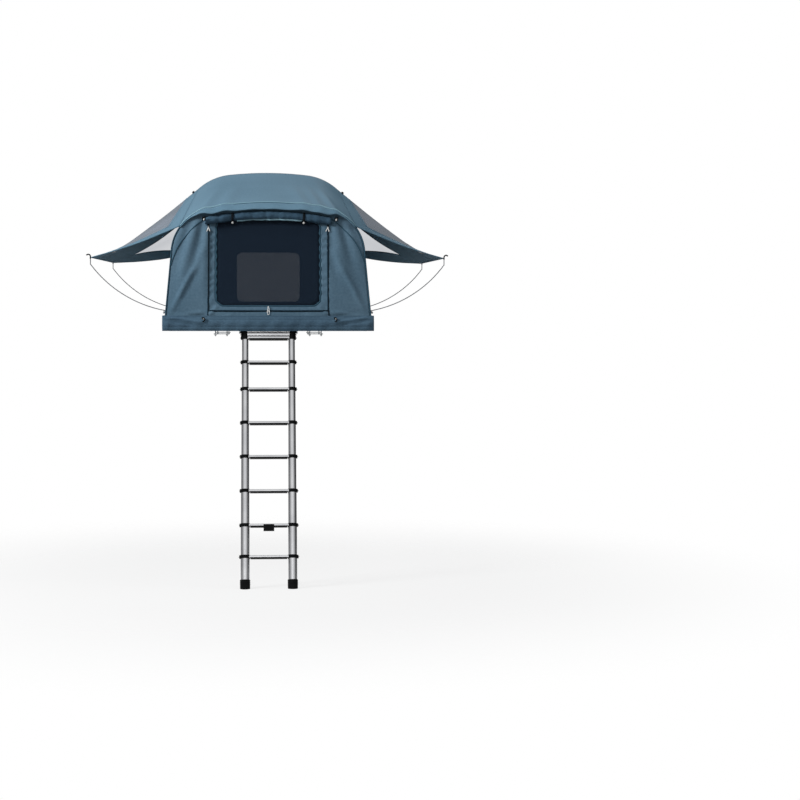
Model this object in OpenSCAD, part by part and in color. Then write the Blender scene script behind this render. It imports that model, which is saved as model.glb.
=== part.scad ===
// Soft-shell folding roof top tent, pitched, with a telescoping ladder at its entrance.
// X points right and Y away from someone who faces the entrance, Z up, all in millimetres.
// The origin is in the middle of the underside of the mounting rails, where they sit on the crossbars.
// Both halves are drawn alike: v runs from the fold line to the free end of a half.

/* [Base] */
// Length of one half of the base, from the fold line to its free end
half_len = 1220; // [1150:5:1300]
// Width of the base over its frame
base_w = 1400; // [1360:5:1500]
// Gap between the two halves at the fold line
seam = 4; // [2:0.5:8]
// Height of a mounting rail, from the crossbars to the floor panel
rail_h = 34; // [28:1:45]
// Width of a mounting rail
rail_w = 45; // [38:1:60]
// Distance between the ends of a mounting rail and the frame beside them
rail_inset = 30; // [20:1:220]
// Distance between the middles of the two mounting rails
rail_spacing = 660; // [500:10:900]
// Wall of a mounting rail
rail_wall = 4; // [3:0.5:5]
// Width of the slot along the underside of a mounting rail
rail_slot = 12; // [10:0.5:15]
// Height of the frame profile round a floor panel
frame_h = 30; // [24:1:40]
// Width of the frame profile
frame_w = 30; // [24:1:40]
// Width of the ledge that carries a floor panel
ledge_w = 12; // [8:1:20]
// Thickness of that ledge
ledge_t = 4; // [3:0.5:6]
// Thickness of a mattress
mattress_t = 55; // [30:1:60]
// Radius of the mattress corners
mattress_r = 40; // [15:1:80]

/* [Crossbar clamps] */
// Distance between the two crossbars
bar_spacing = 700; // [500:10:1000]
// Room for a crossbar between rail and clamp plate
bar_gap = 34; // [20:1:50]
// Length of a clamp plate
clamp_len = 112; // [100:1:140]
// Width of a clamp plate
clamp_w = 40; // [25:1:60]
// Thickness of a clamp plate
clamp_t = 6; // [4:0.5:10]
// Diameter of the clamp bolts
bolt_d = 8; // [6:1:9]
// Distance between the two bolts of a clamp
bolt_spacing = 86; // [70:1:90]
// Width over the flats of the clamp nuts
nut_w = 13; // [13:1:18]

/* [Hinge and bows] */
// Room between a mattress and the hinge pins, for the folded bows and canvas
fold_room = 60; // [55:1:80]
// Diameter of the hinge pins
pin_d = 10; // [8:0.5:12]
// Thickness of the hinge plates
plate_t = 5; // [4:0.5:7]
// Length of the foot of a hinge plate
plate_foot = 80; // [60:1:120]
// Diameter of the eyes at the ends of a bow
eye_d = 30; // [24:1:34]
// Width of those eyes
eye_w = 18; // [17.5:0.5:22]
// Diameter of the bow tubes
bow_d = 16; // [12:0.5:17]
// Corner radius of the front and rear bows
bow_corner_end = 450; // [420:5:480]
// Pitch of the roof of those bows
bow_pitch_end = 6; // [5:0.5:8]
// Corner radius of the middle bow
bow_corner_mid = 360; // [300:5:380]
// Pitch of the roof of the middle bow
bow_pitch_mid = 4; // [1:0.5:6]

/* [Canopy] */
// Height of the canopy over the middle bow, above the crossbars
crown_mid = 1135; // [1080:5:1200]
// Height of the canopy over the end walls
crown_end = 873; // [830:5:910]
// Radius of the shoulders of the roof over the middle bow
shoulder_mid = 400; // [360:5:430]
// Radius of those shoulders over the end walls
shoulder_end = 310; // [280:5:340]
// Rise of the crown above the shoulders over the middle bow
rise_mid = 13; // [10:1:25]
// Rise of the crown above the shoulders over the end walls
rise_end = 36; // [25:1:50]
// Lean of the side walls, inwards for each millimetre upwards
side_lean = 0.0843; // [0.06:0.0001:0.09]
// Distance that an end wall leans in from foot to crown
wall_setback = 205; // [150:5:250]
// Thickness of the canvas
canvas_t = 2; // [1:0.5:3]
// Sag of the canopy between the bows
roof_sag = 12; // [4:1:20]
// Thickness of the insect mesh
mesh_t = 1; // [0.5:0.1:1.5]

/* [Door and windows] */
// Width of the door
door_w = 708; // [600:2:720]
// Height of the door sill above the crossbars
door_sill = 175; // [140:5:220]
// Height of the top of the door
door_top = 775; // [700:5:780]
// Corner radius of the door
door_corner = 60; // [20:1:100]
// Width of the rear window
rear_window_w = 504; // [400:2:600]
// Height of the sill of the rear window
rear_window_sill = 196; // [150:2:260]
// Height of the top of the rear window
rear_window_top = 590; // [500:5:640]
// Corner radius of the rear window
rear_window_corner = 50; // [20:1:80]
// Height of the sills of the side windows
side_window_sill = 220; // [160:5:260]
// Strip of canvas between a side window and the shoulder of the roof
side_window_head = 60; // [40:2:100]
// Distance from the fold line to a side window
side_window_near = 100; // [60:5:160]
// Distance from the fold line to the far end of a side window
side_window_far = 750; // [600:5:800]

/* [Rain fly and awnings] */
// Thickness of the fly
fly_t = 2.5; // [1.5:0.5:4]
// Distance that the hem of the fly stands out past the end wall
hem_out = 75; // [65:1:110]
// Drop of that hem
hem_drop = 50; // [30:1:55]
// Distance from the side of the base to the awning seam over the middle bow
seam_inset_mid = 200; // [160:5:240]
// Distance from the side of the base to the awning seam over the end walls
seam_inset_end = 110; // [100:5:140]
// Height of the outer edge of an awning above the crossbars
awning_h = 502; // [450:2:550]
// Distance from the fold line to the tip of an awning
awning_tip = 960; // [800:5:1000]
// Width of the canvas between the awning seam and its clear window
window_border = 110; // [60:2:160]
// Width of the canvas along the outer edge of a front awning
awning_border = 100; // [60:5:330]
// Width of the canvas along the end of a front awning
awning_end = 96; // [60:2:160]
// Drop of the end edge of a rear awning below the line from its seam to its tip
rear_drop = 138; // [60:2:150]

/* [Awning rods] */
// Diameter of the rods
rod_d = 6; // [5:0.5:7]
// Bow of a rod below the straight line between its ends
rod_sag = 57; // [50:1:65]
// Distance from the middle plane to the hook of a rod
hook_x = 1200; // [1150:5:1250]
// Straight run of a rod below the tip of its awning
hook_run = 45; // [30:1:60]
// Radius of the hook at the end of a rod
hook_r = 14; // [10:0.5:18]
// Height of the rod sockets above the floor
socket_h = 72; // [66:1:90]
// Tilt of the rod sockets
socket_tilt = 33; // [28:1:38]
// Length of a rod socket
socket_len = 14; // [10:0.5:20]

/* [Skirt] */
// Thickness of the skirt
skirt_t = 3; // [2:0.5:5]
// Height of the hem of the skirt above the crossbars
skirt_low = 10; // [6:1:20]
// Depth of the skirt
skirt_depth = 102; // [92:1:115]
// How far the skirt bulges
skirt_bulge = 7; // [3:0.5:10]
// Depth of the folds in the skirt
skirt_fold = 3; // [1:0.5:4]

/* [Door flap and zips] */
// Length of the rolled-up door flap
roll_len = 900; // [800:10:920]
// Height of the roll at its middle
roll_h = 72; // [50:1:74]
// Depth of the roll
roll_depth = 60; // [45:1:62]
// Height of the middle of the roll above the crossbars
roll_z = 780; // [760:1:784]
// Drop of the ends of the roll
roll_drop = 45; // [40:1:60]
// Distance of the toggles from the middle
toggle_x = 240; // [180:5:300]
// Distance of the door zips from the middle
zip_x = 402; // [380:1:430]
// Height of the zip sliders beside the door
zip_z = 706; // [650:1:710]
// Height of the slider under the door
zip_low = 141; // [130:1:150]

/* [Ladder] */
// Lean of the ladder
lean = 16; // [10:1:22]
// Distance from the ladder pivot to the free end of the base
pivot_inset = 40; // [34:1:60]
// Distance from the base frame down to the ladder pivot
pivot_drop = 25; // [24:1:40]
// Diameter of the pivot pins
pivot_d = 12; // [8:1:14]
// Distance between the middles of the two ladder tubes
ladder_w = 310; // [280:2:400]
// Outer diameter of the tubes of the top section
tube_d = 38; // [32:0.5:40]
// Wall of the ladder tubes
tube_wall = 1; // [0.8:0.1:1.2]
// Clearance round a tube inside the next one
tube_fit = 0.2; // [0.1:0.05:0.3]
// Height of a rung
rung_h = 17; // [14:0.5:22]
// Depth of a rung
rung_depth = 36; // [30:1:37]
// Height of the black strip under a rung
strip_h = 5.3; // [3:0.1:8]
// Distance between two rungs of extended sections
step_full = 229; // [200:1:260]
// Distance between the third and the fourth rung
step_first = 168; // [140:1:200]
// Distance between the fourth and the fifth rung
step_second = 184; // [150:1:200]
// Distance between the last two rungs, and from the last rung to the ground
step_last = 208; // [180:1:240]
// Length of tube that stays inside the next tube
tube_overlap = 25; // [15:1:60]
// Wall of the collars
collar_wall = 3; // [2:0.5:4]
// Height of a foot
foot_h = 57; // [40:1:70]

/* [Hidden] */
$fn = 64;

// Clearances
seat_gap = 0.3; // between soft goods and what carries them
fly_gap = 1.5; // between the fly and the canopy
pin_fit = 0.05; // round the hinge pins, pivot pins and rods
collar_fit = 0.1; // between a tube and its own collar
slide_gap = 0.3; // between collars, rungs and strips that meet when the ladder is closed
bow_gap = 2; // between a bow and the canvas
rod_gap = 1.5; // between a rod and the edge of its awning
slider_gap = 0.4; // between a zip slider and the wall

// Base
fold_y = -half_len / 2;
frame_low = rail_h - ledge_t;
base_top = frame_low + frame_h;
floor_t = frame_h - ledge_t;
hinge_z = base_top + mattress_t + fold_room;

// Hinge stack, from the side of the base inwards
wall_inset = 10;
plate_gap = 3;
canvas_room = 2; // between the hinge and the canvas
pin_head_t = 4;
pin_head_d = pin_d + 8;
hinge_rim = 9;
plate_top_d = pin_d + 2 * hinge_rim;
plate_foot_t = 4;
plate_start = 10;
hinge_side = side_x(hinge_z + plate_top_d / 2) - canvas_t - canvas_room;
front_plate_x = hinge_side - pin_head_t - plate_gap - plate_t;
rear_plate_x = front_plate_x - plate_gap - plate_t;
eye_gap = 4;
// Sleeves that join the tubes of a bow
sleeve_len = 30;
sleeve_wall = 2;
sleeve_slack = 0.5;
ridge_len = 40;

// End walls and roof
wall_foot = half_len - wall_inset - 5;
wall_slope = wall_setback / (crown_end - base_top);
wall_tilt = atan(wall_slope);
crown_v = wall_foot - wall_setback;
roof_tilt = atan((crown_mid - crown_end) / crown_v);
canvas_foot = base_top + seat_gap;
rail_len = base_w - 2 * (frame_w + rail_inset);
side_pull = 32;
low_pull = 40;
half_gap = seat_gap / 2;

// The crown of an end bow lies bow_off inside both its end wall and the roof
bow_off = canvas_t + bow_gap + bow_d / 2 + sleeve_wall;
wall_reach = crown_v * cos(wall_tilt) + crown_end * sin(wall_tilt) - bow_off;
roof_reach = crown_v * sin(roof_tilt) + crown_end * cos(roof_tilt) - bow_off;
bow_v = (wall_reach * cos(roof_tilt) - roof_reach * sin(wall_tilt)) / cos(wall_tilt + roof_tilt);
bow_z = (roof_reach * cos(wall_tilt) - wall_reach * sin(roof_tilt)) / cos(wall_tilt + roof_tilt);
bow_len_end = norm([bow_v, bow_z - hinge_z]);
bow_angle = atan2(bow_z - hinge_z, bow_v);
bow_len_mid = crown_mid - bow_off - hinge_z;

// The eyes of the bows sit side by side on the pins, the front bow outermost.
// Its legs clear the leaning side walls where its corners begin.
bow_corner_z = hinge_z + (bow_len_end - bow_corner_end) * sin(bow_angle);
front_bow_x = side_x(bow_corner_z) - bow_off;
rear_bow_x = front_bow_x - eye_w - eye_gap;
middle_bow_x = rear_bow_x - eye_w - eye_gap;
pin_end_x = middle_bow_x - eye_w / 2 - plate_gap;
mattress_x = pin_end_x - eye_gap;

// Awnings and rods
awning_x = hook_x - rod_d / 2 - rod_gap;
socket_x = base_w / 2 + 6;
socket_z = base_top + socket_h;
socket_d = rod_d + 7;
post_t = 8;
rod_lift = socket_len / 2 + rod_d + 1;
rod_axis = [-sin(socket_tilt), cos(socket_tilt)];
rod_start = [socket_x, socket_z] + rod_lift * rod_axis;
rod_kink = [hook_x, awning_h - hook_run];
rod_chord = norm(rod_kink - rod_start);
rod_slope = atan2(rod_kink[1] - rod_start[1], rod_kink[0] - rod_start[0]);
rod_r = (rod_chord * rod_chord / 4 + rod_sag * rod_sag) / (2 * rod_sag);
rod_half = asin(rod_chord / 2 / rod_r);

// Ladder
pivot_v = half_len - pivot_inset;
pivot_z = frame_low - pivot_drop;
tube_x = ladder_w / 2;
collar_h = rung_h + strip_h;
stack = collar_h + slide_gap;
steps = concat([stack, stack, step_first, step_second], [for (i = [1 : 4]) step_full], [step_last]);
last_section = len(steps);
tab_section = last_section - 1;
nub = 5;
nub_w = 14;
lock_pin_d = 6;
lock_pin_out = 1.5;
foot_floor = 14;
foot_wall = 3;
bracket_t = 6;
bracket_foot_t = 4;
bracket_foot = 34;
cap_out = tube_x + tube_d / 2 + 16;

// Number of flat facets in the soft shapes
arc_cells = 6;
crown_cells = 6;
fly_cells = 28;
skirt_cells = 24;
roll_cells = 28;
roll_sides = 12;

// Colours
canvas_blue = "#4d6b7e";
fly_blue = "#6d8798";
mesh_black = "#20242c";
clear_grey = [0.75, 0.72, 0.74, 0.5];
black_plastic = "#1e1f21";
aluminium_grey = "#d4d6d8";
steel_grey = "#8c8f92";
foam_grey = "#9aa0a4";

// Shape functions

function mix(a, b, t) = a + (b - a) * t;

// Half width of the side walls and reach of the end walls at height z
function side_x(z) = base_w / 2 - wall_inset - side_lean * (z - base_top);
function wall_v(z) = wall_foot - wall_slope * (z - base_top);

// Roof arch at share t of the way from the middle bow to an end wall.
// Its shoulders are arcs of radius shoulder about (shoulder_x, foot), its top is an arc of radius top.
function shoulder(t) = mix(shoulder_mid, shoulder_end, t);
function rise(t) = mix(rise_mid, rise_end, t);
function crown(t, sag) = mix(crown_mid, crown_end, t) - sag * sin(180 * t);
function foot(t, sag) = crown(t, sag) - shoulder(t) - rise(t);
function shoulder_x(t, sag) = side_x(foot(t, sag)) - shoulder(t);
function arch_reach(t, sag) = (pow(shoulder_x(t, sag), 2) + pow(rise(t), 2)) / (2 * rise(t));
function arch_turn(t, sag) = asin(shoulder_x(t, sag) / arch_reach(t, sag));
function top(t, sag) = arch_reach(t, sag) + shoulder(t);

// Right half of the arch, moved inwards by off, from the foot of the shoulder to the crown
function arch_half(t, off, sag) = let (
    r = shoulder(t) - off,
    big = top(t, sag) - off,
    turn = arch_turn(t, sag)
  ) concat(
    [for (i = [0 : arc_cells]) let (a = i * (90 - turn) / arc_cells)
      [shoulder_x(t, sag) + r * cos(a), foot(t, sag) + r * sin(a)]],
    [for (i = [1 : crown_cells]) let (a = turn * (1 - i / crown_cells))
      [big * sin(a), crown(t, sag) - off - big + big * cos(a)]]
  );

// Height of the arch, moved inwards by off, at distance x from the middle plane
function arch_z(t, off, sag, x) = let (
    r = shoulder(t) - off,
    big = top(t, sag) - off
  ) abs(x) < big * sin(arch_turn(t, sag))
    ? crown(t, sag) - off - big + sqrt(big * big - x * x)
    : foot(t, sag) + sqrt(r * r - pow(abs(x) - shoulder_x(t, sag), 2));

// Half a cross-section of the canopy from its foot to the crown, with the edges of the side window
function canopy_half(t, off) = concat(
  [for (z = [canvas_foot, side_window_sill, foot(t, roof_sag) - side_window_head]) [side_x(z) - off, z]],
  arch_half(t, off, roof_sag)
);

// The whole cross-section, from the left foot over the crown to the right foot
function canopy_section(t, off) = let (half = canopy_half(t, off), n = len(half)) concat(
  [for (p = half) [-p[0], p[1]]],
  [for (i = [n - 2 : -1 : 0]) half[i]]
);

// Points of a cross-section at share t along its half
function along(t, section) = [for (p = section) [p[0], mix(half_gap, wall_v(p[1]), t), p[1]]];

// Shares of the half at which the canopy has a cross-section, with the ends of the side windows
window_t = [side_window_near, side_window_far] / crown_v;
canopy_t = [0, window_t[0], mix(window_t[0], window_t[1], 0.5), window_t[1], mix(window_t[1], 1, 0.5), 1];

// Faces of one cell of a sheet between two grids of points; open edges get a wall
function is_kept(mask, i, j) = i >= 0 && j >= 0 && i < len(mask) && j < len(mask[0]) && mask[i][j];
function edge_wall(a, b, n) = [[a, b, n + b], [a, n + b, n + a]];
function cell_faces(mask, i, j, cols, n) = let (
    a = i * cols + j,
    b = a + 1,
    c = b + cols,
    d = a + cols
  ) concat(
    [[a, c, b], [a, d, c], [n + a, n + b, n + c], [n + a, n + c, n + d]],
    is_kept(mask, i - 1, j) ? [] : edge_wall(a, b, n),
    is_kept(mask, i, j + 1) ? [] : edge_wall(b, c, n),
    is_kept(mask, i + 1, j) ? [] : edge_wall(c, d, n),
    is_kept(mask, i, j - 1) ? [] : edge_wall(d, a, n)
  );
function full_mask(grid) = [for (i = [1 : len(grid) - 1]) [for (j = [1 : len(grid[0]) - 1]) true]];

// Point of the fly, which lies off outside the canopy and follows its leaning end walls
function fly_point(t, x, off) = let (z = arch_z(t, off, 0, x)) [x, mix(half_gap, wall_v(z), t), z];

// Awning surface: a counts from the fold line to the tip, s from the seam to the outer edge.
// A drop lowers its end edge beside the canopy, from the share drop_start on.
function seam_x(a) = base_w / 2 - mix(seam_inset_mid, seam_inset_end, a);
function seam_point(a) = fly_point(a, seam_x(a), -fly_gap - fly_t);
function edge_point(a) = [awning_x, mix(half_gap, awning_tip, a), awning_h];
function awning_width(a) = norm(edge_point(a) - seam_point(a));
function hang(a, s, drop) = drop * a * a * (1 - s) * min(s / drop_start, 1);
function awning_point(a, s, drop) = mix(seam_point(a), edge_point(a), s) - [0, 0, hang(a, s, drop)];

// Distance along the ladder from its pivot to rung k, counted from 0, and the diameter of its tubes
function rung_s(k) = k == 0 ? 0 : rung_s(k - 1) + steps[k - 1];
function tube_od(k) = tube_d + 2 * (tube_wall + tube_fit) * k;
function tube_len(k) = k < 2 ? step_full + tube_overlap
  : k < last_section ? steps[k] + tube_overlap
  : step_last - foot_floor;

// Shared shapes

module rear_half() translate([0, fold_y, 0]) children();

module front_half() translate([0, fold_y, 0]) mirror([0, 1, 0]) children();

module both_sides() {
  children();
  mirror([1, 0, 0]) children();
}

// Outline in the plane of v and z, drawn t thick from distance x
module side_plate(x, t) translate([x, 0, 0]) rotate([90, 0, 90]) linear_extrude(t) children();

// Outline of x and distance up the slope of an end wall, drawn inwards from the outside of the wall
module on_wall() translate([0, wall_foot, base_top]) rotate([90 + wall_tilt, 0, 0]) children();

function up_wall(z) = (z - base_top) / cos(wall_tilt);

module rounded_rect(w, h, r) {
  square([w - 2 * r, h], center = true);
  square([w, h - 2 * r], center = true);
  for (x = [-1, 1]) for (y = [-1, 1]) translate([x * (w / 2 - r), y * (h / 2 - r)]) circle(r);
}

// Closed sheet between an outer and an inner grid of points, without the cells that the mask drops
module sheet(outer, inner, mask) {
  cols = len(outer[0]);
  n = len(outer) * cols;
  points = concat([for (row = outer) each row], [for (row = inner) each row]);
  faces = [for (i = [0 : len(mask) - 1]) for (j = [0 : len(mask[0]) - 1])
    if (mask[i][j]) each cell_faces(mask, i, j, cols, n)];
  polyhedron(points, faces);
}

// Base

module mounting_rails() color(aluminium_grey)
  for (side = [-1, 1]) translate([-rail_len / 2, side * rail_spacing / 2, rail_h / 2])
    rotate([90, 0, 90]) linear_extrude(rail_len) difference() {
      square([rail_w, rail_h], center = true);
      square([rail_w - 2 * rail_wall, rail_h - 2 * rail_wall], center = true);
      translate([0, -rail_h / 2]) square([rail_slot, 3 * rail_wall], center = true);
    }

module clamp_bolt() {
  head_w = rail_slot + 8;
  head_t = 5;
  tail = 14;
  translate([0, 0, -bar_gap - clamp_t - tail]) cylinder(d = bolt_d, h = bar_gap + clamp_t + tail + rail_wall);
  translate([-bolt_d / 2, -head_w / 2, rail_wall]) cube([bolt_d, head_w, head_t]);
}

module clamp_nut() {
  height = 8;
  flats = nut_w / cos(30);
  translate([0, 0, -bar_gap - clamp_t - height]) difference() {
    cylinder(d = flats, h = height, $fn = 6);
    translate([0, 0, -1]) cylinder(d = bolt_d + 2 * pin_fit, h = height + 2);
  }
}

module crossbar_clamps() color(steel_grey)
  for (x = [-1, 1]) for (y = [-1, 1]) translate([x * bar_spacing / 2, y * rail_spacing / 2, 0]) {
    translate([0, 0, -bar_gap - clamp_t]) difference() {
      translate([-clamp_len / 2, -clamp_w / 2, 0]) cube([clamp_len, clamp_w, clamp_t]);
      for (i = [-1, 1]) translate([i * bolt_spacing / 2, 0, -1]) cylinder(d = bolt_d + 1, h = clamp_t + 2);
    }
    for (i = [-1, 1]) translate([i * bolt_spacing / 2, 0, 0]) {
      clamp_bolt();
      clamp_nut();
    }
  }

module floor_panel() {
  inset = frame_w + seat_gap;
  translate([-base_w / 2 + inset, seam / 2 + inset, rail_h])
    cube([base_w - 2 * inset, half_len - seam / 2 - 2 * inset, floor_t]);
}

module rod_socket() {
  post_x = base_w / 2 - post_t - 0.5;
  post_w = socket_d;
  difference() {
    union() {
      translate([post_x, awning_tip - post_w / 2, base_top]) cube([post_t, post_w, socket_h]);
      translate([socket_x, awning_tip, socket_z]) rotate([0, -socket_tilt, 0])
        cylinder(d = socket_d, h = socket_len, center = true);
    }
    translate([socket_x, awning_tip, socket_z]) rotate([0, -socket_tilt, 0])
      cylinder(d = rod_d + 2 * pin_fit, h = 3 * socket_len, center = true);
  }
}

module base_frame() {
  inner_w = base_w - 2 * frame_w;
  inner_len = half_len - seam / 2 - 2 * frame_w;
  difference() {
    translate([-base_w / 2, seam / 2, frame_low]) cube([base_w, half_len - seam / 2, frame_h]);
    translate([-inner_w / 2, seam / 2 + frame_w, rail_h]) cube([inner_w, inner_len, frame_h]);
    translate([-inner_w / 2 + ledge_w, seam / 2 + frame_w + ledge_w, frame_low - 1])
      cube([inner_w - 2 * ledge_w, inner_len - 2 * ledge_w, frame_h]);
  }
  both_sides() rod_socket();
}

module mattress() {
  near = seam + 2;
  far = wall_v(base_top + mattress_t) - 10;
  translate([0, (near + far) / 2, base_top]) linear_extrude(mattress_t)
    rounded_rect(2 * mattress_x, far - near, mattress_r);
}

// A hinge plate stands on the frame and reaches up and over to the fold line
module hinge_plate(x) {
  foot_end = base_w / 2 - wall_inset - canvas_t - canvas_room;
  screw_d = 8;
  screw_h = 4;
  both_sides() {
    side_plate(x, plate_t) difference() {
      union() {
        polygon([
          [plate_start, base_top],
          [plate_start + plate_foot, base_top],
          [plate_top_d / 2, hinge_z],
          [-plate_top_d / 2, hinge_z]
        ]);
        translate([0, hinge_z]) circle(d = plate_top_d);
      }
      translate([0, hinge_z]) circle(d = pin_d + 2 * pin_fit);
    }
    translate([x, plate_start, base_top]) cube([foot_end - x, plate_foot, plate_foot_t]);
    for (share = [0.25, 0.75])
      translate([foot_end - screw_d, plate_start + share * plate_foot, base_top + plate_foot_t])
        cylinder(d = screw_d, h = screw_h);
  }
}

module hinge_pins() color(steel_grey) both_sides() translate([0, fold_y, hinge_z]) rotate([0, 90, 0]) {
  clip_t = 2;
  head_x = front_plate_x + plate_t + slide_gap;
  translate([0, 0, pin_end_x]) cylinder(d = pin_d, h = head_x - pin_end_x);
  translate([0, 0, head_x]) cylinder(d = pin_head_d, h = pin_head_t);
  translate([0, 0, pin_end_x]) cylinder(d = pin_head_d, h = clip_t);
}

// Skirt: a strip of canvas that hangs on the outside of the frame, bulged and lightly folded.
// Its inside meets the frame where the bulge is least, and its rows include the edges of the frame.
skirt_folds = 5;
skirt_lag = 70; // turn of the folds from the hem to the top
skirt_up = concat([0], [for (z = [frame_low, base_top]) (z - skirt_low) / skirt_depth], [0.75, 1]);
function bulge(up) = skirt_bulge * (1 - pow(2 * up - 1, 2));
skirt_seat = min(bulge(skirt_up[1]), bulge(skirt_up[2]));
function skirt_out(up, along) = skirt_fold * (1 + sin(360 * skirt_folds * along + skirt_lag * up))
  + bulge(up) - skirt_seat;

module skirt_end() {
  wide = base_w / 2 + seat_gap;
  function spot(i, up, t) = let (share = i / skirt_cells, out = skirt_out(up, share) + t) [
    mix(-wide, wide, share),
    half_len + seat_gap + out,
    skirt_low + up * skirt_depth
  ];
  outer = [for (i = [0 : skirt_cells]) [for (up = skirt_up) spot(i, up, skirt_t)]];
  inner = [for (i = [0 : skirt_cells]) [for (up = skirt_up) spot(i, up, 0)]];
  sheet(outer, inner, full_mask(outer));
}

module skirt_side() {
  reach = half_len;
  function spot(i, up, t) = let (share = i / skirt_cells, out = skirt_out(up, share) + t) [
    base_w / 2 + seat_gap + out,
    mix(half_gap, reach, share),
    skirt_low + up * skirt_depth
  ];
  outer = [for (up = skirt_up) [for (i = [0 : skirt_cells]) spot(i, up, skirt_t)]];
  inner = [for (up = skirt_up) [for (i = [0 : skirt_cells]) spot(i, up, 0)]];
  sheet(outer, inner, full_mask(outer));
}

module skirt() {
  skirt_end();
  both_sides() skirt_side();
}

// Canopy

// Roof and side walls in one sheet, with an opening for the window in each side
module canopy_tunnel() {
  outer = [for (t = canopy_t) along(t, canopy_section(t, 0))];
  inner = [for (t = canopy_t) along(t, canopy_section(t, canvas_t))];
  cells = len(outer[0]) - 1;
  mask = [for (i = [0 : len(outer) - 2]) [for (j = [0 : cells - 1])
    !((i == 1 || i == 2) && (j == 1 || j == cells - 2))]];
  sheet(outer, inner, mask);
}

module opening(w, low, high, r) translate([0, (up_wall(low) + up_wall(high)) / 2])
  rounded_rect(w, up_wall(high) - up_wall(low), r);

// The inside of the leaning end wall ends above the frame
module end_wall() on_wall() linear_extrude(canvas_t) difference() {
  low = up_wall(canvas_foot) + canvas_t * tan(wall_tilt);
  polygon([for (p = canopy_section(1, canvas_t + seat_gap)) [p[0], max(low, up_wall(p[1]))]]);
  children();
}

module end_mesh(w, low, high, r) on_wall() translate([0, 0, (canvas_t - mesh_t) / 2]) linear_extrude(mesh_t)
  opening(w - 2 * seat_gap, low + seat_gap, high - seat_gap, r - seat_gap);

module side_mesh() {
  slack = seat_gap / crown_v;
  window_rows = [for (s = [0, 0.5, 1]) mix(window_t[0] + slack, window_t[1] - slack, s)];
  function strip(t, off) = along(t, [for (z = [
      foot(t, roof_sag) - side_window_head - seat_gap, side_window_sill + seat_gap
    ]) [side_x(z) - off, z]]);
  outer = [for (t = window_rows) strip(t, (canvas_t - mesh_t) / 2)];
  inner = [for (t = window_rows) strip(t, (canvas_t + mesh_t) / 2)];
  sheet(outer, inner, full_mask(outer));
}

// Rain fly over the canopy, with a hem that hangs down past the end wall

awning_far = 1 - awning_end / awning_tip;
awning_rows = [0, awning_far / 3, awning_far * 2 / 3, awning_far, 1];

// A rear awning's clear window has three corners; its outer corner lies on row 3
rear_rows = [0, 0.235, 0.47, 0.7, 0.92, 1];
rear_reach = [0.5, 0.36, 0.205, 0.736, 0.2, 0.5];
drop_start = 0.18;
film_t = 1;

function fly_row(t, hem, off) = [for (j = [-fly_cells / 2 : fly_cells / 2])
  fly_point(t, 2 * j / fly_cells * (seam_x(t) - seat_gap), off) + hem * [0, hem_out, -hem_drop]];

function fly_rows(rows, off) = concat([for (t = rows) fly_row(t, 0, off)], [fly_row(1, 1, off)]);

module fly(rows) {
  outer = fly_rows(rows, -fly_gap - fly_t);
  sheet(outer, fly_rows(rows, -fly_gap), full_mask(outer));
}

// Half an awning beyond the seam of the fly, with an opening for its clear window

module front_awning() {
  function grid(down) = [for (a = awning_rows) let (w = awning_width(a))
    [for (inset = [seat_gap, window_border, w / 2, w - awning_border, w])
      awning_point(a, inset / w, 0) - [0, 0, down]]];
  mask = [for (i = [0 : 3]) [for (j = [0 : 3]) !(i < 3 && (j == 1 || j == 2))]];
  sheet(grid(0), grid(fly_t), mask);
}

module front_film() {
  slack = seat_gap / awning_tip;
  rows = [for (s = [0, 1 / 3, 2 / 3, 1]) mix(0, awning_far - slack, s)];
  function film(down) = [for (a = rows) let (w = awning_width(a))
    [for (inset = [window_border + seat_gap, w / 2, w - awning_border - seat_gap])
      awning_point(a, inset / w, 0) - [0, 0, down]]];
  outer = film((fly_t - film_t) / 2);
  sheet(outer, film((fly_t + film_t) / 2), full_mask(outer));
}

module rear_awning() {
  function grid(down) = [for (i = [0 : len(rear_rows) - 1]) let (a = rear_rows[i])
    [for (s = [seat_gap / awning_width(a), drop_start, rear_reach[i], 1])
      awning_point(a, s, rear_drop) - [0, 0, down]]];
  mask = [for (i = [0 : len(rear_rows) - 2]) [for (j = [0 : 2]) !(j == 1 && (i == 2 || i == 3))]];
  sheet(grid(0), grid(fly_t), mask);
}

module rear_film() {
  function film(down) = [for (i = [2 : 4]) let (
      a = rear_rows[i] + (3 - i) * seat_gap / awning_tip,
      slack = seat_gap / awning_width(a)
    ) [for (s = [drop_start + slack, rear_reach[i] - slack]) awning_point(a, s, rear_drop) - [0, 0, down]]];
  outer = film((fly_t - film_t) / 2);
  sheet(outer, film((fly_t + film_t) / 2), full_mask(outer));
}

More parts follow.
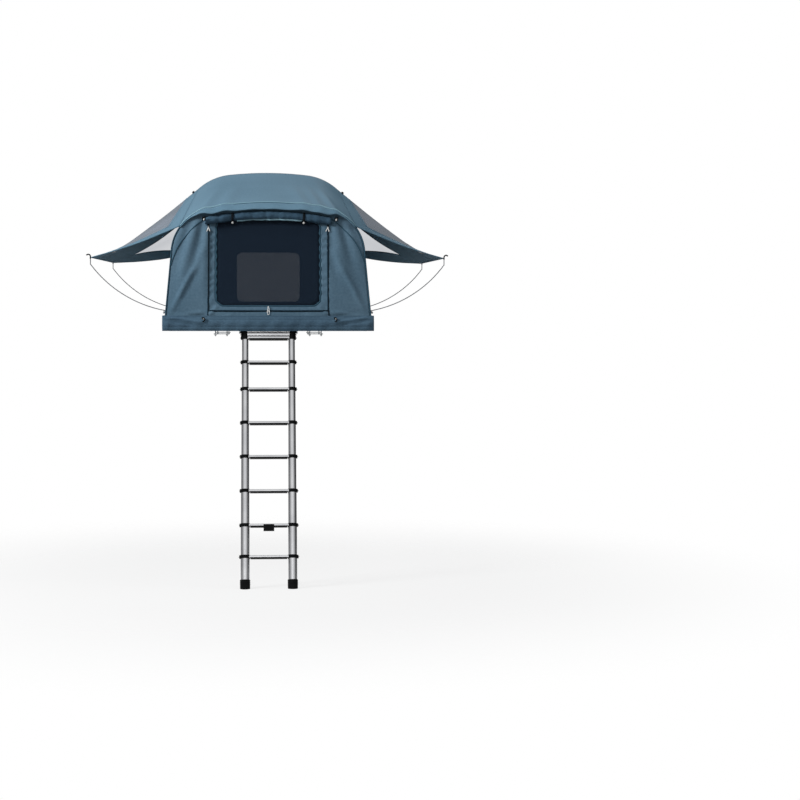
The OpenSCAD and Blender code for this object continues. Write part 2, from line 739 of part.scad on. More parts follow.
// Awning rod: a pin in its socket, a bowed run, a kink and a hook over the tip of the awning
module rod() translate([0, awning_tip, 0]) {
  middle = (rod_start + rod_kink) / 2;
  sag_dir = [sin(rod_slope), -cos(rod_slope)];
  centre = middle - (rod_r - rod_sag) * sag_dir;
  pin_low = socket_len / 2 + 3;
  hook_top = awning_h + hook_r / 2;
  hook_turn = 150;
  rod_swell = 0.8;
  bend_slack = 0.4;
  translate([socket_x, 0, socket_z]) rotate([0, -socket_tilt, 0]) translate([0, 0, -pin_low])
    cylinder(d = rod_d, h = pin_low + rod_lift);
  translate([rod_start[0], 0, rod_start[1]]) sphere(d = rod_d + rod_swell);
  translate([centre[0], 0, centre[1]]) rotate([90, 0, 0]) rotate([0, 0, rod_slope - 90 - rod_half])
    rotate_extrude(angle = 2 * rod_half, $fn = 96) translate([rod_r, 0]) circle(d = rod_d);
  translate([hook_x, 0, rod_kink[1]]) sphere(d = rod_d + rod_swell);
  translate([hook_x, 0, rod_kink[1]]) cylinder(d = rod_d, h = hook_top - rod_kink[1] - bend_slack);
  translate([hook_x, 0, hook_top]) sphere(d = rod_d + rod_swell);
  translate([hook_x + hook_r, 0, hook_top]) rotate([90, 0, 0]) rotate([0, 0, 180 - hook_turn])
    rotate_extrude(angle = hook_turn - bend_slack / hook_r * 180 / PI)
      translate([hook_r, 0]) circle(d = rod_d);
}

// Bows

// Sleeve that joins two tubes of a bow, along Y; the tubes stop short of each other inside it
module sleeve() rotate([90, 0, 0]) cylinder(d = bow_d + 2 * sleeve_wall, h = sleeve_len, center = true);

// A bow lies along +Y from its eyes: two legs, two corner arcs and a roof pitched to a ridge
module bow(half_w, length, corner, pitch) {
  short = sleeve_slack / corner * 180 / PI;
  corner_x = half_w - corner;
  knee_x = corner_x + corner * sin(pitch);
  knee_y = length - knee_x * tan(pitch);
  corner_y = knee_y - corner * cos(pitch);
  both_sides() {
    difference() {
      translate([half_w, 0, 0]) {
        rotate([-90, 0, 0]) cylinder(d = bow_d, h = corner_y - sleeve_slack);
        rotate([0, 90, 0]) cylinder(d = eye_d, h = eye_w, center = true);
      }
      translate([half_w, 0, 0]) rotate([0, 90, 0])
        cylinder(d = pin_d + 2 * pin_fit, h = 2 * eye_w, center = true);
    }
    translate([half_w, corner_y, 0]) sleeve();
    translate([corner_x, corner_y, 0]) rotate([0, 0, short])
      rotate_extrude(angle = 90 - pitch - 2 * short) translate([corner, 0]) circle(d = bow_d);
    translate([knee_x, knee_y, 0]) rotate([0, 0, 90 - pitch]) {
      sleeve();
      translate([0, sleeve_slack, 0]) rotate([-90, 0, 0])
        cylinder(d = bow_d, h = knee_x / cos(pitch) - 2 * sleeve_slack);
    }
  }
  translate([0, length - ridge_len / 4 * tan(pitch), 0]) rotate([0, 90, 0])
    cylinder(d = bow_d + 2 * sleeve_wall, h = ridge_len, center = true);
}

module bow_at(angle) translate([0, fold_y, hinge_z]) rotate([angle, 0, 0]) children();

module end_bow(half_w) bow(half_w, bow_len_end, bow_corner_end, bow_pitch_end);

// Door flap, rolled up under the hem of the fly and drawn in by two toggles

function roll_squeeze(x) = 1 - 0.16 * exp(-pow((abs(x) - toggle_x) / 30, 2))
  - 0.2 * pow(2 * x / roll_len, 6) + 0.03 * sin(x * 1.1);
function roll_ring(i) = let (
    share = 2 * i / roll_cells - 1,
    x = share * roll_len / 2,
    z = roll_z - roll_drop * share * share,
    v = wall_v(z) + (roll_depth / 2 + seat_gap) / cos(wall_tilt),
    k = roll_squeeze(x)
  ) [for (j = [0 : roll_sides - 1]) let (
      a = 360 * j / roll_sides,
      out = k * cos(a) * roll_depth / 2,
      up = k * sin(a) * roll_h / 2
    ) [
      x,
      v - (1 - k) * roll_depth / 2 + out * cos(wall_tilt) - up * sin(wall_tilt),
      z + out * sin(wall_tilt) + up * cos(wall_tilt)
    ]];

module rolled_flap() {
  n = roll_sides;
  last = roll_cells * n;
  points = [for (i = [0 : roll_cells]) each roll_ring(i)];
  skin = [for (i = [0 : roll_cells - 1]) for (j = [0 : n - 1])
    let (a = i * n + j, b = i * n + (j + 1) % n) each [[a, b + n, b], [a, a + n, b + n]]];
  ends = [for (j = [1 : n - 2]) each [[0, j, j + 1], [last, last + j + 1, last + j]]];
  polyhedron(points, concat(skin, ends));
}

// Zip slider with its pull, on the outside of the front wall
module zip_slider(x, z, pull) {
  body_w = 10;
  body_len = 16;
  body_t = 5;
  pull_w = 7;
  pull_t = 2;
  on_wall() translate([x, up_wall(z), -slider_gap]) {
    translate([-body_w / 2, -body_len / 2, -body_t]) cube([body_w, body_len, body_t]);
    translate([-pull_w / 2, -body_len / 2 - pull, -body_t]) difference() {
      cube([pull_w, pull + 1, pull_t]);
      translate([pull_w / 2, pull_w / 2, -1]) cylinder(d = pull_w / 2, h = pull_t + 2);
    }
  }
}

// Ladder, hung below its pivot

module on_ladder() translate([0, fold_y - pivot_v, pivot_z]) rotate([-lean, 0, 0]) children();

module rung_bar(grow) rotate([90, 0, 90])
  linear_extrude(ladder_w, center = true) rounded_rect(rung_depth + 2 * grow, rung_h + 2 * grow, 3);

module ladder_section(k) color(aluminium_grey) on_ladder() translate([0, 0, -rung_s(k)]) difference() {
  union() {
    both_sides() translate([tube_x, 0, -tube_len(k)])
      cylinder(d = tube_od(k), h = tube_len(k) + collar_h / 2);
    rung_bar(0);
  }
  both_sides() translate([tube_x, 0, -tube_len(k) - 1])
    cylinder(d = tube_od(k) - 2 * tube_wall, h = tube_len(k) + collar_h);
}

// Black strip under a rung, clear of the wider collars of the next section.
// The strip of the lowest but one carries a tab in front.
module rung_strip(k) {
  inner = tube_x - tube_od(k + 1) / 2 - collar_wall - 1;
  translate([-inner, -rung_depth / 2 + 2, -rung_h / 2 - strip_h]) cube([2 * inner, rung_depth - 4, strip_h]);
}

module rung_tab() {
  tab_w = 70;
  tab_h = 46;
  tab_t = 4;
  translate([-tab_w / 2, -rung_depth / 2 - slide_gap - tab_t, rung_h / 4 - tab_h])
    cube([tab_w, tab_t, tab_h]);
}

module collar_pair(k) {
  outer = tube_od(k) / 2 + collar_wall;
  difference() {
    both_sides() translate([tube_x, 0, -collar_h / 2]) {
      cylinder(r = outer, h = collar_h);
      translate([0, -nub_w / 2, 0]) cube([outer + nub, nub_w, collar_h]);
    }
    both_sides() translate([tube_x, 0, 0])
      cylinder(d = tube_od(k) + 2 * collar_fit, h = 2 * collar_h, center = true);
    rung_bar(collar_fit);
  }
  both_sides() translate([tube_x + outer + nub, 0, 0]) rotate([0, 90, 0])
    cylinder(d = lock_pin_d, h = lock_pin_out);
}

module ladder_collars(k) color(black_plastic) on_ladder() translate([0, 0, -rung_s(k)]) {
  collar_pair(k);
  rung_strip(k);
  if (k == tab_section) rung_tab();
}

// Caps on the top section, with the bores that turn on the bracket pins
module pivot_caps() color(black_plastic) on_ladder() {
  outer = tube_d / 2 + collar_wall;
  lid = 3;
  difference() {
    both_sides() {
      translate([tube_x, 0, -collar_h / 2]) cylinder(r = outer, h = collar_h + lid);
      translate([tube_x, -pivot_d, -collar_h / 2]) cube([cap_out - tube_x, 2 * pivot_d, collar_h]);
    }
    both_sides() translate([tube_x, 0, -collar_h]) cylinder(d = tube_d + 2 * collar_fit, h = 1.5 * collar_h);
    both_sides() translate([tube_x, 0, 0]) rotate([0, 90, 0])
      cylinder(d = pivot_d + 2 * pin_fit, h = 2 * tube_x);
    rung_bar(collar_fit);
  }
  rung_strip(0);
}

module ladder_brackets() color(steel_grey) translate([0, fold_y - pivot_v, 0]) both_sides() {
  plate_x = cap_out + slide_gap;
  low = pivot_d / 2 + 8;
  side_plate(plate_x, bracket_t) {
    translate([0, pivot_z]) circle(r = low);
    translate([-low, pivot_z]) square([2 * low, frame_low - pivot_z]);
  }
  translate([plate_x, -bracket_foot + low, frame_low - bracket_foot_t])
    cube([bracket_foot, bracket_foot, bracket_foot_t]);
  translate([tube_x + tube_d / 2 + 2, 0, pivot_z]) rotate([0, 90, 0])
    cylinder(d = pivot_d, h = plate_x - tube_x - tube_d / 2 - 1);
}

// Feet with soles that lie flat on the ground
module ladder_feet() color(black_plastic) on_ladder() translate([0, 0, -rung_s(last_section)]) both_sides() {
  big = 200;
  translate([tube_x, 0, 0]) difference() {
    translate([0, 0, -step_last - foot_h / 2])
      cylinder(d = tube_od(last_section) + 2 * foot_wall, h = foot_h * 1.5);
    translate([0, 0, -tube_len(last_section)])
      cylinder(d = tube_od(last_section) + 2 * collar_fit, h = step_last);
    translate([0, 0, -step_last]) rotate([lean, 0, 0]) translate([-big / 2, -big / 2, -big]) cube(big);
  }
}

// Nodes

module rear_floor() color(aluminium_grey) rear_half() floor_panel();
module front_floor() color(aluminium_grey) front_half() floor_panel();
module rear_frame() color(aluminium_grey) rear_half() base_frame();
module front_frame() color(aluminium_grey) front_half() base_frame();
module rear_hinge_plates() color(steel_grey) rear_half() hinge_plate(rear_plate_x);
module front_hinge_plates() color(steel_grey) front_half() hinge_plate(front_plate_x);
module rear_mattress() color(foam_grey) rear_half() mattress();
module front_mattress() color(foam_grey) front_half() mattress();
module rear_skirt() color(canvas_blue) rear_half() skirt();
module front_skirt() color(canvas_blue) front_half() skirt();

module rear_canopy() color(canvas_blue) rear_half() {
  canopy_tunnel();
  end_wall() opening(rear_window_w, rear_window_sill, rear_window_top, rear_window_corner);
}

module front_canopy() color(canvas_blue) front_half() {
  canopy_tunnel();
  end_wall() opening(door_w, door_sill, door_top, door_corner);
}

module rear_meshes() color(mesh_black) rear_half() {
  end_mesh(rear_window_w, rear_window_sill, rear_window_top, rear_window_corner);
  both_sides() side_mesh();
}

module front_meshes() color(mesh_black) front_half() {
  end_mesh(door_w, door_sill, door_top, door_corner);
  both_sides() side_mesh();
}

module rear_fly() color(fly_blue) rear_half() fly(rear_rows);
module front_fly() color(fly_blue) front_half() fly(awning_rows);
module door_roll() color(canvas_blue) front_half() rolled_flap();

module rear_bow() color(steel_grey) bow_at(bow_angle) end_bow(rear_bow_x);
module middle_bow() color(steel_grey) bow_at(90)
  bow(middle_bow_x, bow_len_mid, bow_corner_mid, bow_pitch_mid);
module front_bow() color(steel_grey) bow_at(180 - bow_angle) end_bow(front_bow_x);

module front_left_awning() color(fly_blue) front_half() mirror([1, 0, 0]) front_awning();
module front_right_awning() color(fly_blue) front_half() front_awning();
module rear_left_awning() color(fly_blue) rear_half() mirror([1, 0, 0]) rear_awning();
module rear_right_awning() color(fly_blue) rear_half() rear_awning();
module front_left_window() color(clear_grey) front_half() mirror([1, 0, 0]) front_film();
module front_right_window() color(clear_grey) front_half() front_film();
module rear_left_window() color(clear_grey) rear_half() mirror([1, 0, 0]) rear_film();
module rear_right_window() color(clear_grey) rear_half() rear_film();
module front_left_rod() color(steel_grey) front_half() mirror([1, 0, 0]) rod();
module front_right_rod() color(steel_grey) front_half() rod();
module rear_left_rod() color(steel_grey) rear_half() mirror([1, 0, 0]) rod();
module rear_right_rod() color(steel_grey) rear_half() rod();

module left_zip_slider() color(aluminium_grey) front_half() zip_slider(-zip_x, zip_z, side_pull);
module right_zip_slider() color(aluminium_grey) front_half() zip_slider(zip_x, zip_z, side_pull);
module lower_zip_slider() color(aluminium_grey) front_half() zip_slider(0, zip_low, low_pull);

mounting_rails();
crossbar_clamps();
rear_floor();
rear_frame();
rear_hinge_plates();
hinge_pins();
rear_mattress();
rear_skirt();
rear_canopy();
rear_meshes();
rear_fly();
front_floor();
front_frame();
front_hinge_plates();
front_mattress();
front_skirt();
front_canopy();
front_meshes();
door_roll();
front_fly();
ladder_brackets();
rear_bow();
middle_bow();
front_bow();
front_left_awning();
front_right_awning();
rear_left_awning();
rear_right_awning();
front_left_window();
front_right_window();
rear_left_window();
rear_right_window();
front_left_rod();
front_right_rod();
rear_left_rod();
rear_right_rod();
left_zip_slider();
right_zip_slider();
lower_zip_slider();
ladder_section(0);  // ladder_section_1
ladder_section(1);  // ladder_section_2
ladder_section(2);  // ladder_section_3
ladder_section(3);  // ladder_section_4
ladder_section(4);  // ladder_section_5
ladder_section(5);  // ladder_section_6
ladder_section(6);  // ladder_section_7
ladder_section(7);  // ladder_section_8
ladder_section(8);  // ladder_section_9
ladder_section(9);  // ladder_section_10
pivot_caps();  // ladder_collars_1
ladder_collars(1);  // ladder_collars_2
ladder_collars(2);  // ladder_collars_3
ladder_collars(3);  // ladder_collars_4
ladder_collars(4);  // ladder_collars_5
ladder_collars(5);  // ladder_collars_6
ladder_collars(6);  // ladder_collars_7
ladder_collars(7);  // ladder_collars_8
ladder_collars(8);  // ladder_collars_9
ladder_collars(9);  // ladder_collars_10
ladder_feet();
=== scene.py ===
"""Looks of a soft-shell roof top tent with a telescoping ladder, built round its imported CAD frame.

Sizes are in metres in the CAD frame: X right, Y away from the entrance, Z up. Both halves of the tent are
alike: v runs from the fold line to the free end of a half, and side is -1 for the front half, 1 for the rear.
"""

import math

import bmesh
import bpy
import numpy as np
from mathutils import Matrix, Vector


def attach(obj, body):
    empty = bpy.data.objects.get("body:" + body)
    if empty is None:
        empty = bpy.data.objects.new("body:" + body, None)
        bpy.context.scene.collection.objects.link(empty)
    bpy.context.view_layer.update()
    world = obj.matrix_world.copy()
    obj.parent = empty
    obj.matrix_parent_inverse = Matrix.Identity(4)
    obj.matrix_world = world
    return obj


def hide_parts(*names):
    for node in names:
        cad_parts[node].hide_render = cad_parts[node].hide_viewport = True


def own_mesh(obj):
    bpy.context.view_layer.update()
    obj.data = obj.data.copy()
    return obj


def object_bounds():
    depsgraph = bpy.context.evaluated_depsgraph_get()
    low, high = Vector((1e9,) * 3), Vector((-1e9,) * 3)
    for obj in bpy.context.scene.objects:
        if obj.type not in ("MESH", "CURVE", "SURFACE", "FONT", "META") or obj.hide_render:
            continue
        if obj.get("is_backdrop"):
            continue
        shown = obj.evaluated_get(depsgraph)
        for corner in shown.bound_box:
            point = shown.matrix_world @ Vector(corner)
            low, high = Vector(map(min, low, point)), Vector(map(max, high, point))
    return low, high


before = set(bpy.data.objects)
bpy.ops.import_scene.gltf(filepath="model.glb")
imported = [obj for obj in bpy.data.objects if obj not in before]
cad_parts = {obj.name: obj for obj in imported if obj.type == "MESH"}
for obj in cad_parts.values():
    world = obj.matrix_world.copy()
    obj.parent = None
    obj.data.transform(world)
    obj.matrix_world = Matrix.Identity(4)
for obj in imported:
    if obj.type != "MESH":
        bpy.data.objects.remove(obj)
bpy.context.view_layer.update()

FRONT, REAR = -1, 1
LEFT, RIGHT = -1, 1
END_NAME = {FRONT: "front", REAR: "rear"}
SIDE_NAME = {LEFT: "left", RIGHT: "right"}

# Sizes of the part; MID is at the fold line, END at the free end of a half
FOLD_Y = -0.61
BASE_TOP = 0.06
HALF_LEN = 1.22
BASE_HALF = 0.70
WALL_FOOT = 1.205
CROWN_MID, CROWN_END = 1.135, 0.873
SHOULDER_MID, SHOULDER_END = 0.40, 0.31
RISE_MID, RISE_END = 0.013, 0.036
SIDE_FOOT, SIDE_LEAN = 0.69, 0.0843
WALL_SLOPE = 0.205 / (CROWN_END - BASE_TOP)
TILT = math.atan(WALL_SLOPE)
SAG = 0.012
# Thickness of each cloth
CANVAS_T, SKIRT_T, FLAP_T, NET_T = 0.002, 0.0018, 0.0016, 0.0006
FLY_T, AWNING_T, FILM_T = 0.0022, 0.002, 0.0008
# Room at the fold line, inside the outline of an end wall, and under the fly
FOLD_GAP, WALL_INSET, FLY_OFF = 0.0002, 0.0024, 0.0028
HEM_OUT, HEM_DROP = 0.075, 0.046
SEAM_MID, SEAM_END = 0.50, 0.59
AWNING_X, AWNING_H, AWNING_TIP = 1.1955, 0.502, 0.96
AWNING_FAR = 0.84
WINDOW_BORDER, AWNING_BORDER = 0.11, 0.10
AWNING_SAG, AWNING_FALL = 0.015, (0.524, 0.216)
# Window of a rear awning: how far it reaches at shares of the awning's length
REAR_ROWS = (0, 0.235, 0.47, 0.70, 0.92, 1)
REAR_REACH = (0.5, 0.36, 0.205, 0.736, 0.20, 0.5)
REAR_DROP, DROP_START = 0.138, 0.18
# How far the awnings turn down as the base folds
DROP = {FRONT: math.radians(55), REAR: math.radians(45)}
# Openings of the end walls: half width, sill, head and radius of the corners
DOOR = (0.354, 0.175, 0.775, 0.06)
REAR_WINDOW = (0.252, 0.196, 0.59, 0.05)
# Side windows: sill, distance under the shoulder, and shares of a half's length
SIDE_SILL, SIDE_HEAD = 0.22, 0.06
SIDE_NEAR, SIDE_FAR = 0.1, 0.75
MATTRESS_X = 0.570
SKIRT_LOW, SKIRT_H = 0.010, 0.102
ZIP_X, ZIP_TOP, ZIP_REST, ZIP_FOOT = 0.402, 0.725, 0.706, 0.105
SILL_HALF, SILL_Z = 0.40, 0.141
ROLL_HALF, ROLL_R, ROLL_CORE, ROLL_TURNS = 0.425, 0.029, 0.009, 5.4
ROLL_Z, ROLL_SPAN, STRAP_X = 0.788, 0.45, 0.24
# Seams: the distance between stitches, and a stitch's length, width and height
STITCH_PITCH, STITCH = 0.014, (0.009, 0.0022, 0.0016)
# The same of a zip's teeth
TOOTH_PITCH, TOOTH = 0.005, (0.0028, 0.006, 0.0018)
# Height at which the dropped awnings lie once the base folds
PACKED_AWNING_Z = 0.12


# Helpers for meshes


def mix(a, b, t):
    return a + (b - a) * t


def smooth(low, high, x):
    t = np.clip((x - low) / (high - low), 0, 1)
    return t * t * (3 - 2 * t)


def grid_faces(rows, cols, keep=None, wrap=False):
    """Quads of a grid of points, in rows; keep says which cells stay, and wrap closes each row."""
    faces = []
    for i in range(rows - 1):
        for j in range(cols if wrap else cols - 1):
            if keep is None or keep[i][j]:
                k = (j + 1) % cols
                a, b = i * cols, (i + 1) * cols
                faces.append((a + j, a + k, b + k, b + j))
    return faces


def turned(faces, flip=True):
    """The same faces, looking the other way where flip is set."""
    return [tuple(reversed(f)) for f in faces] if flip else faces


def make(name, points, faces, material, uv=None, flat=False):
    """A new piece at the origin, with its points in the CAD frame and an optional UV map in metres."""
    mesh = bpy.data.meshes.new(name)
    mesh.from_pydata(np.asarray(points, float).reshape(-1, 3).tolist(), [], faces)
    if uv is not None:
        layer = mesh.uv_layers.new(name="cloth")
        corner = np.zeros(len(mesh.loops), np.int32)
        mesh.loops.foreach_get("vertex_index", corner)
        layer.data.foreach_set("uv", np.asarray(uv, np.float32).reshape(-1, 2)[corner].ravel())
    mesh.validate()
    mesh.polygons.foreach_set("use_smooth", [not flat] * len(mesh.polygons))
    mesh.materials.append(material)
    piece = bpy.data.objects.new(name, mesh)
    bpy.context.scene.collection.objects.link(piece)
    return piece


def baked(piece):
    """The same piece with its modifiers applied."""
    bpy.context.view_layer.update()
    evaluated = piece.evaluated_get(bpy.context.evaluated_depsgraph_get())
    mesh = bpy.data.meshes.new_from_object(evaluated)
    piece.modifiers.clear()
    piece.data = mesh
    return piece


def thicken(piece, thickness, offset):
    """Gives a sheet its thickness: inwards from its faces at offset -1, outwards at 1."""
    wall = piece.modifiers.new("wall", "SOLIDIFY")
    wall.thickness = thickness
    wall.offset = offset
    wall.use_rim = True
    return baked(piece)


def mended(piece, merge=None, outwards=False):
    """Merges doubled points, or else drops those that no face uses; can turn the faces outwards."""
    b = bmesh.new()
    b.from_mesh(piece.data)
    if merge:
        bmesh.ops.remove_doubles(b, verts=b.verts, dist=merge)
    else:
        bmesh.ops.delete(b, geom=[v for v in b.verts if not v.link_faces], context="VERTS")
    if outwards:
        bmesh.ops.recalc_face_normals(b, faces=b.faces)
    b.to_mesh(piece.data)
    b.free()
    return piece


def merged(name, pieces):
    """One piece from several, each with its own materials."""
    materials = []
    vertices, faces, index, uvs, smooths, start = [], [], [], [], [], 0
    for p in pieces:
        m = p.data
        co = np.zeros(len(m.vertices) * 3, np.float32)
        m.vertices.foreach_get("co", co)
        vertices.append(co.reshape(-1, 3))
        at = []
        for material in m.materials:
            if material not in materials:
                materials.append(material)
            at.append(materials.index(material))
        layer = m.uv_layers.active
        for f in m.polygons:
            faces.append(tuple(start + v for v in f.vertices))
            index.append(at[f.material_index])
            smooths.append(f.use_smooth)
            for loop in f.loop_indices:
                uvs.append(tuple(layer.data[loop].uv) if layer else (0.0, 0.0))
        start += len(m.vertices)
        bpy.data.objects.remove(p)
    mesh = bpy.data.meshes.new(name)
    mesh.from_pydata(np.concatenate(vertices).tolist(), [], faces)
    for material in materials:
        mesh.materials.append(material)
    mesh.polygons.foreach_set("material_index", index)
    mesh.polygons.foreach_set("use_smooth", smooths)
    layer = mesh.uv_layers.new(name="cloth")
    layer.data.foreach_set("uv", np.array(uvs, np.float32).ravel())
    piece = bpy.data.objects.new(name, mesh)
    bpy.context.scene.collection.objects.link(piece)
    return piece


def line_frame(line, up, closed=False):
    """Directions across and above a line of points, and the distance run to each of them."""
    ahead = np.roll(line, -1, 0) - np.roll(line, 1, 0) if closed else np.gradient(line, axis=0)
    ahead /= np.linalg.norm(ahead, axis=1)[:, None]
    across = np.cross(ahead, np.broadcast_to(np.asarray(up, float), line.shape))
    across /= np.maximum(np.linalg.norm(across, axis=1)[:, None], 1e-9)
    run = np.concatenate([[0], np.cumsum(np.linalg.norm(np.diff(line, axis=0), axis=1))])
    return across, np.cross(across, ahead), run


def tube(name, line, radius, material, sides=8, closed=False, squeeze=1.0, up=(0, 0, 1)):
    """A tube round a line of points, flattened along up by squeeze."""
    line = np.asarray(line, float)
    n = len(line)
    across, above, run = line_frame(line, up, closed)
    radius = np.broadcast_to(np.asarray(radius, float), (n,))
    angle = np.arange(sides) / sides * 2 * math.pi
    points = np.stack(
        [
            line + radius[:, None] * (math.cos(a) * across + squeeze * math.sin(a) * above)
            for a in angle
        ],
        axis=1,
    )
    uv = np.stack(np.broadcast_arrays(run[:, None], (angle * float(radius.mean()))[None, :]), axis=2)
    if closed:
        points = np.concatenate([points, points[:1]])
        uv = np.concatenate([uv, uv[:1]])
        faces = grid_faces(n + 1, sides, wrap=True)
    else:
        faces = grid_faces(n, sides, wrap=True)
        faces.append(tuple(range(sides - 1, -1, -1)))
        faces.append(tuple((n - 1) * sides + k for k in range(sides)))
    piece = make(name, points.reshape(-1, 3), turned(faces), material, uv)
    return mended(piece, 1e-5, outwards=True) if closed else piece


def strip(name, line, width, thickness, material, up):
    """A flat band of webbing along a line, whose face looks along up."""
    line = np.asarray(line, float)
    across, above, run = line_frame(line, up)
    corners = [(-1, -1), (-0.9, 1), (0.9, 1), (1, -1)]
    points = np.stack(
        [line + across * width / 2 * a + above * thickness / 2 * b for a, b in corners], axis=1
    )
    uv = np.stack(np.broadcast_arrays(run[:, None], np.array([a * width / 2 for a, _ in corners])), 2)
    n = len(line)
    faces = grid_faces(n, 4, wrap=True)
    faces += [(0, 1, 2, 3), tuple((n - 1) * 4 + k for k in (3, 2, 1, 0))]
    return mended(make(name, points.reshape(-1, 3), faces, material, uv), 1e-5, outwards=True)


def dress(piece, body, nodes=(), packs=False, packed=None):
    """Puts a finished piece on its body and hides the CAD nodes it stands for; a soft one gets a mesh of its
    own.
    """
    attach(piece, body)
    if nodes:
        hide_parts(*nodes)
    if packs:
        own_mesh(piece)
    return piece


# Shape of the roof, as in the part


def side_x(z):
    return SIDE_FOOT - SIDE_LEAN * (z - BASE_TOP)


def wall_v(z):
    return WALL_FOOT - WALL_SLOPE * (z - BASE_TOP)


def arch(t, sag):
    """Shoulder radius, shoulder centre, foot, crown, radius and turn of the roof arch at share t."""
    shoulder = mix(SHOULDER_MID, SHOULDER_END, t)
    rise = mix(RISE_MID, RISE_END, t)
    crown = mix(CROWN_MID, CROWN_END, t) - sag * np.sin(math.pi * t)
    foot = crown - shoulder - rise
    centre = side_x(foot) - shoulder
    reach = (centre**2 + rise**2) / (2 * rise)
    return shoulder, centre, foot, crown, reach + shoulder, np.arcsin(centre / reach)


def arch_z(t, off, sag, x):
    """Height of the arch at distance x from the middle, off outside it."""
    shoulder, centre, foot, crown, big, turn = arch(t, sag)
    r, big = shoulder + off, big + off
    low = foot + np.sqrt(np.maximum(r**2 - np.maximum(np.abs(x) - centre, 0) ** 2, 1e-9))
    high = crown + off - big + np.sqrt(np.maximum(big**2 - x**2, 1e-9))
    return np.where(np.abs(x) < big * np.sin(turn), high, low)


def seam_x(t):
    return mix(SEAM_MID, SEAM_END, t)


def half_v(z, t):
    """Distance from the fold line at share t of a half, at height z."""
    return mix(FOLD_GAP, wall_v(z), t)


def spots_at(x, y, z):
    return np.stack(np.broadcast_arrays(x, y, z), axis=-1)


def place(side, x, v, z):
    """Points of a half in the CAD frame."""
    return spots_at(x, FOLD_Y + side * v, z)


def on_wall(side, x, up, out=0.0):
    """Points on an end wall: x, distance up its slope and distance outside it."""
    z = BASE_TOP + up * math.cos(TILT) + out * math.sin(TILT)
    return place(side, x, WALL_FOOT - up * math.sin(TILT) + out * math.cos(TILT), z)


def up_wall(z):
    return (z - BASE_TOP) / math.cos(TILT)


def wall_normal(side):
    return np.array([0, side * math.cos(TILT), math.sin(TILT)])


# Materials


def linear(code):
    """Linear colour of an sRGB hex value."""
    values = [int(code[i : i + 2], 16) / 255 for i in (1, 3, 5)]
    return tuple(v / 12.92 if v <= 0.04045 else ((v + 0.055) / 1.055) ** 2.4 for v in values) + (1.0,)


def add(tree, kind, inputs=None, stops=(), **settings):
    """Adds a node. Inputs are values, sockets or nodes, for their first output; stops colour a ramp."""
    n = tree.nodes.new(kind)
    for key, value in settings.items():
        setattr(n, key, value)
    for k, (at, code) in enumerate(stops):
        n.color_ramp.elements[k].position = at
        n.color_ramp.elements[k].color = linear(code)
    for key, value in (inputs or {}).items():
        if isinstance(value, bpy.types.Node):
            value = value.outputs[0]
        if isinstance(value, bpy.types.NodeSocket):
            tree.links.new(value, n.inputs[key])
        else:
            n.inputs[key].default_value = value
    return n


def shader(name, **values):
    """A material with its Principled shader's constant values, and the shader."""
    material = bpy.data.materials.new(name)
    material.use_nodes = True
    tree = material.node_tree
    tree.nodes.clear()
    surface = add(tree, "ShaderNodeBsdfPrincipled", {k.replace("_", " "): v for k, v in values.items()})
    add(tree, "ShaderNodeOutputMaterial", {"Surface": surface})
    return material, tree, surface


# Length after which a wave of scale 1 repeats
WAVE = 0.314
# Marks per metre: thick places in a thread 17 mm apart, smudges on metal 110 mm, worn places on plastic
# 70 mm and ripples in film 330 mm
SLUBS, SMUDGES, WEAR, FILM_RIPPLES = 60.0, 9.0, 14.0, 3.0
CLOTH_GLOSS = 0.07


def threads(tree, uv, pitch):
    """Two sets of threads at right angles, pitch apart."""
    values = {"Vector": uv, "Scale": WAVE / pitch}
    return [add(tree, "ShaderNodeTexWave", values, bands_direction=d).outputs[1] for d in ("X", "Y")]


def finished(tree, surface, tone, stops, height, distance, strength, rough=None):
    """Gives a shader its colours by a tone, the lift of its grain and a roughness that a value spreads."""
    colour = add(tree, "ShaderNodeValToRGB", {"Fac": tone}, stops)
    lift = add(tree, "ShaderNodeBump", {"Height": height, "Distance": distance, "Strength": strength})
    parts = {"Base Color": colour, "Normal": lift}
    if rough:
        value, low, high = rough
        parts["Roughness"] = add(tree, "ShaderNodeMapRange", {0: value, 3: low, 4: high})
    for socket, node in parts.items():
        tree.links.new(node.outputs[0], surface.inputs[socket])


def woven(name, pale, deep, pitch, bump, patch=0.35, **values):
    """Woven cloth on the piece's own UV map: threads both ways, and slow changes of tone in patches."""
    material, tree, surface = shader(name, Specular_IOR_Level=CLOTH_GLOSS, **values)
    uv = add(tree, "ShaderNodeTexCoord").outputs["UV"]
    where = add(tree, "ShaderNodeTexCoord").outputs["Object"]
    warp, weft = threads(tree, uv, pitch)
    weave = add(tree, "ShaderNodeMath", {0: warp, 1: weft}, operation="ADD")
    slub = add(tree, "ShaderNodeTexNoise", {"Vector": uv, "Scale": SLUBS, "Detail": 3.0})
    tone = {"Vector": where, "Scale": 1 / patch, "Detail": 2.0, "Roughness": 0.4}
    tone = add(tree, "ShaderNodeTexNoise", tone)
    fleck = add(tree, "ShaderNodeMath", {0: tone, 1: slub}, operation="ADD")
    fleck = add(tree, "ShaderNodeMath", {0: fleck, 1: 0.5}, operation="MULTIPLY")
    height = add(tree, "ShaderNodeMath", {0: slub, 1: weave}, operation="ADD")
    stops = [(0.36, deep), (0.64, pale)]
    finished(tree, surface, fleck, stops, height, bump, 0.6, (slub, 0.66, 0.86))
    return material


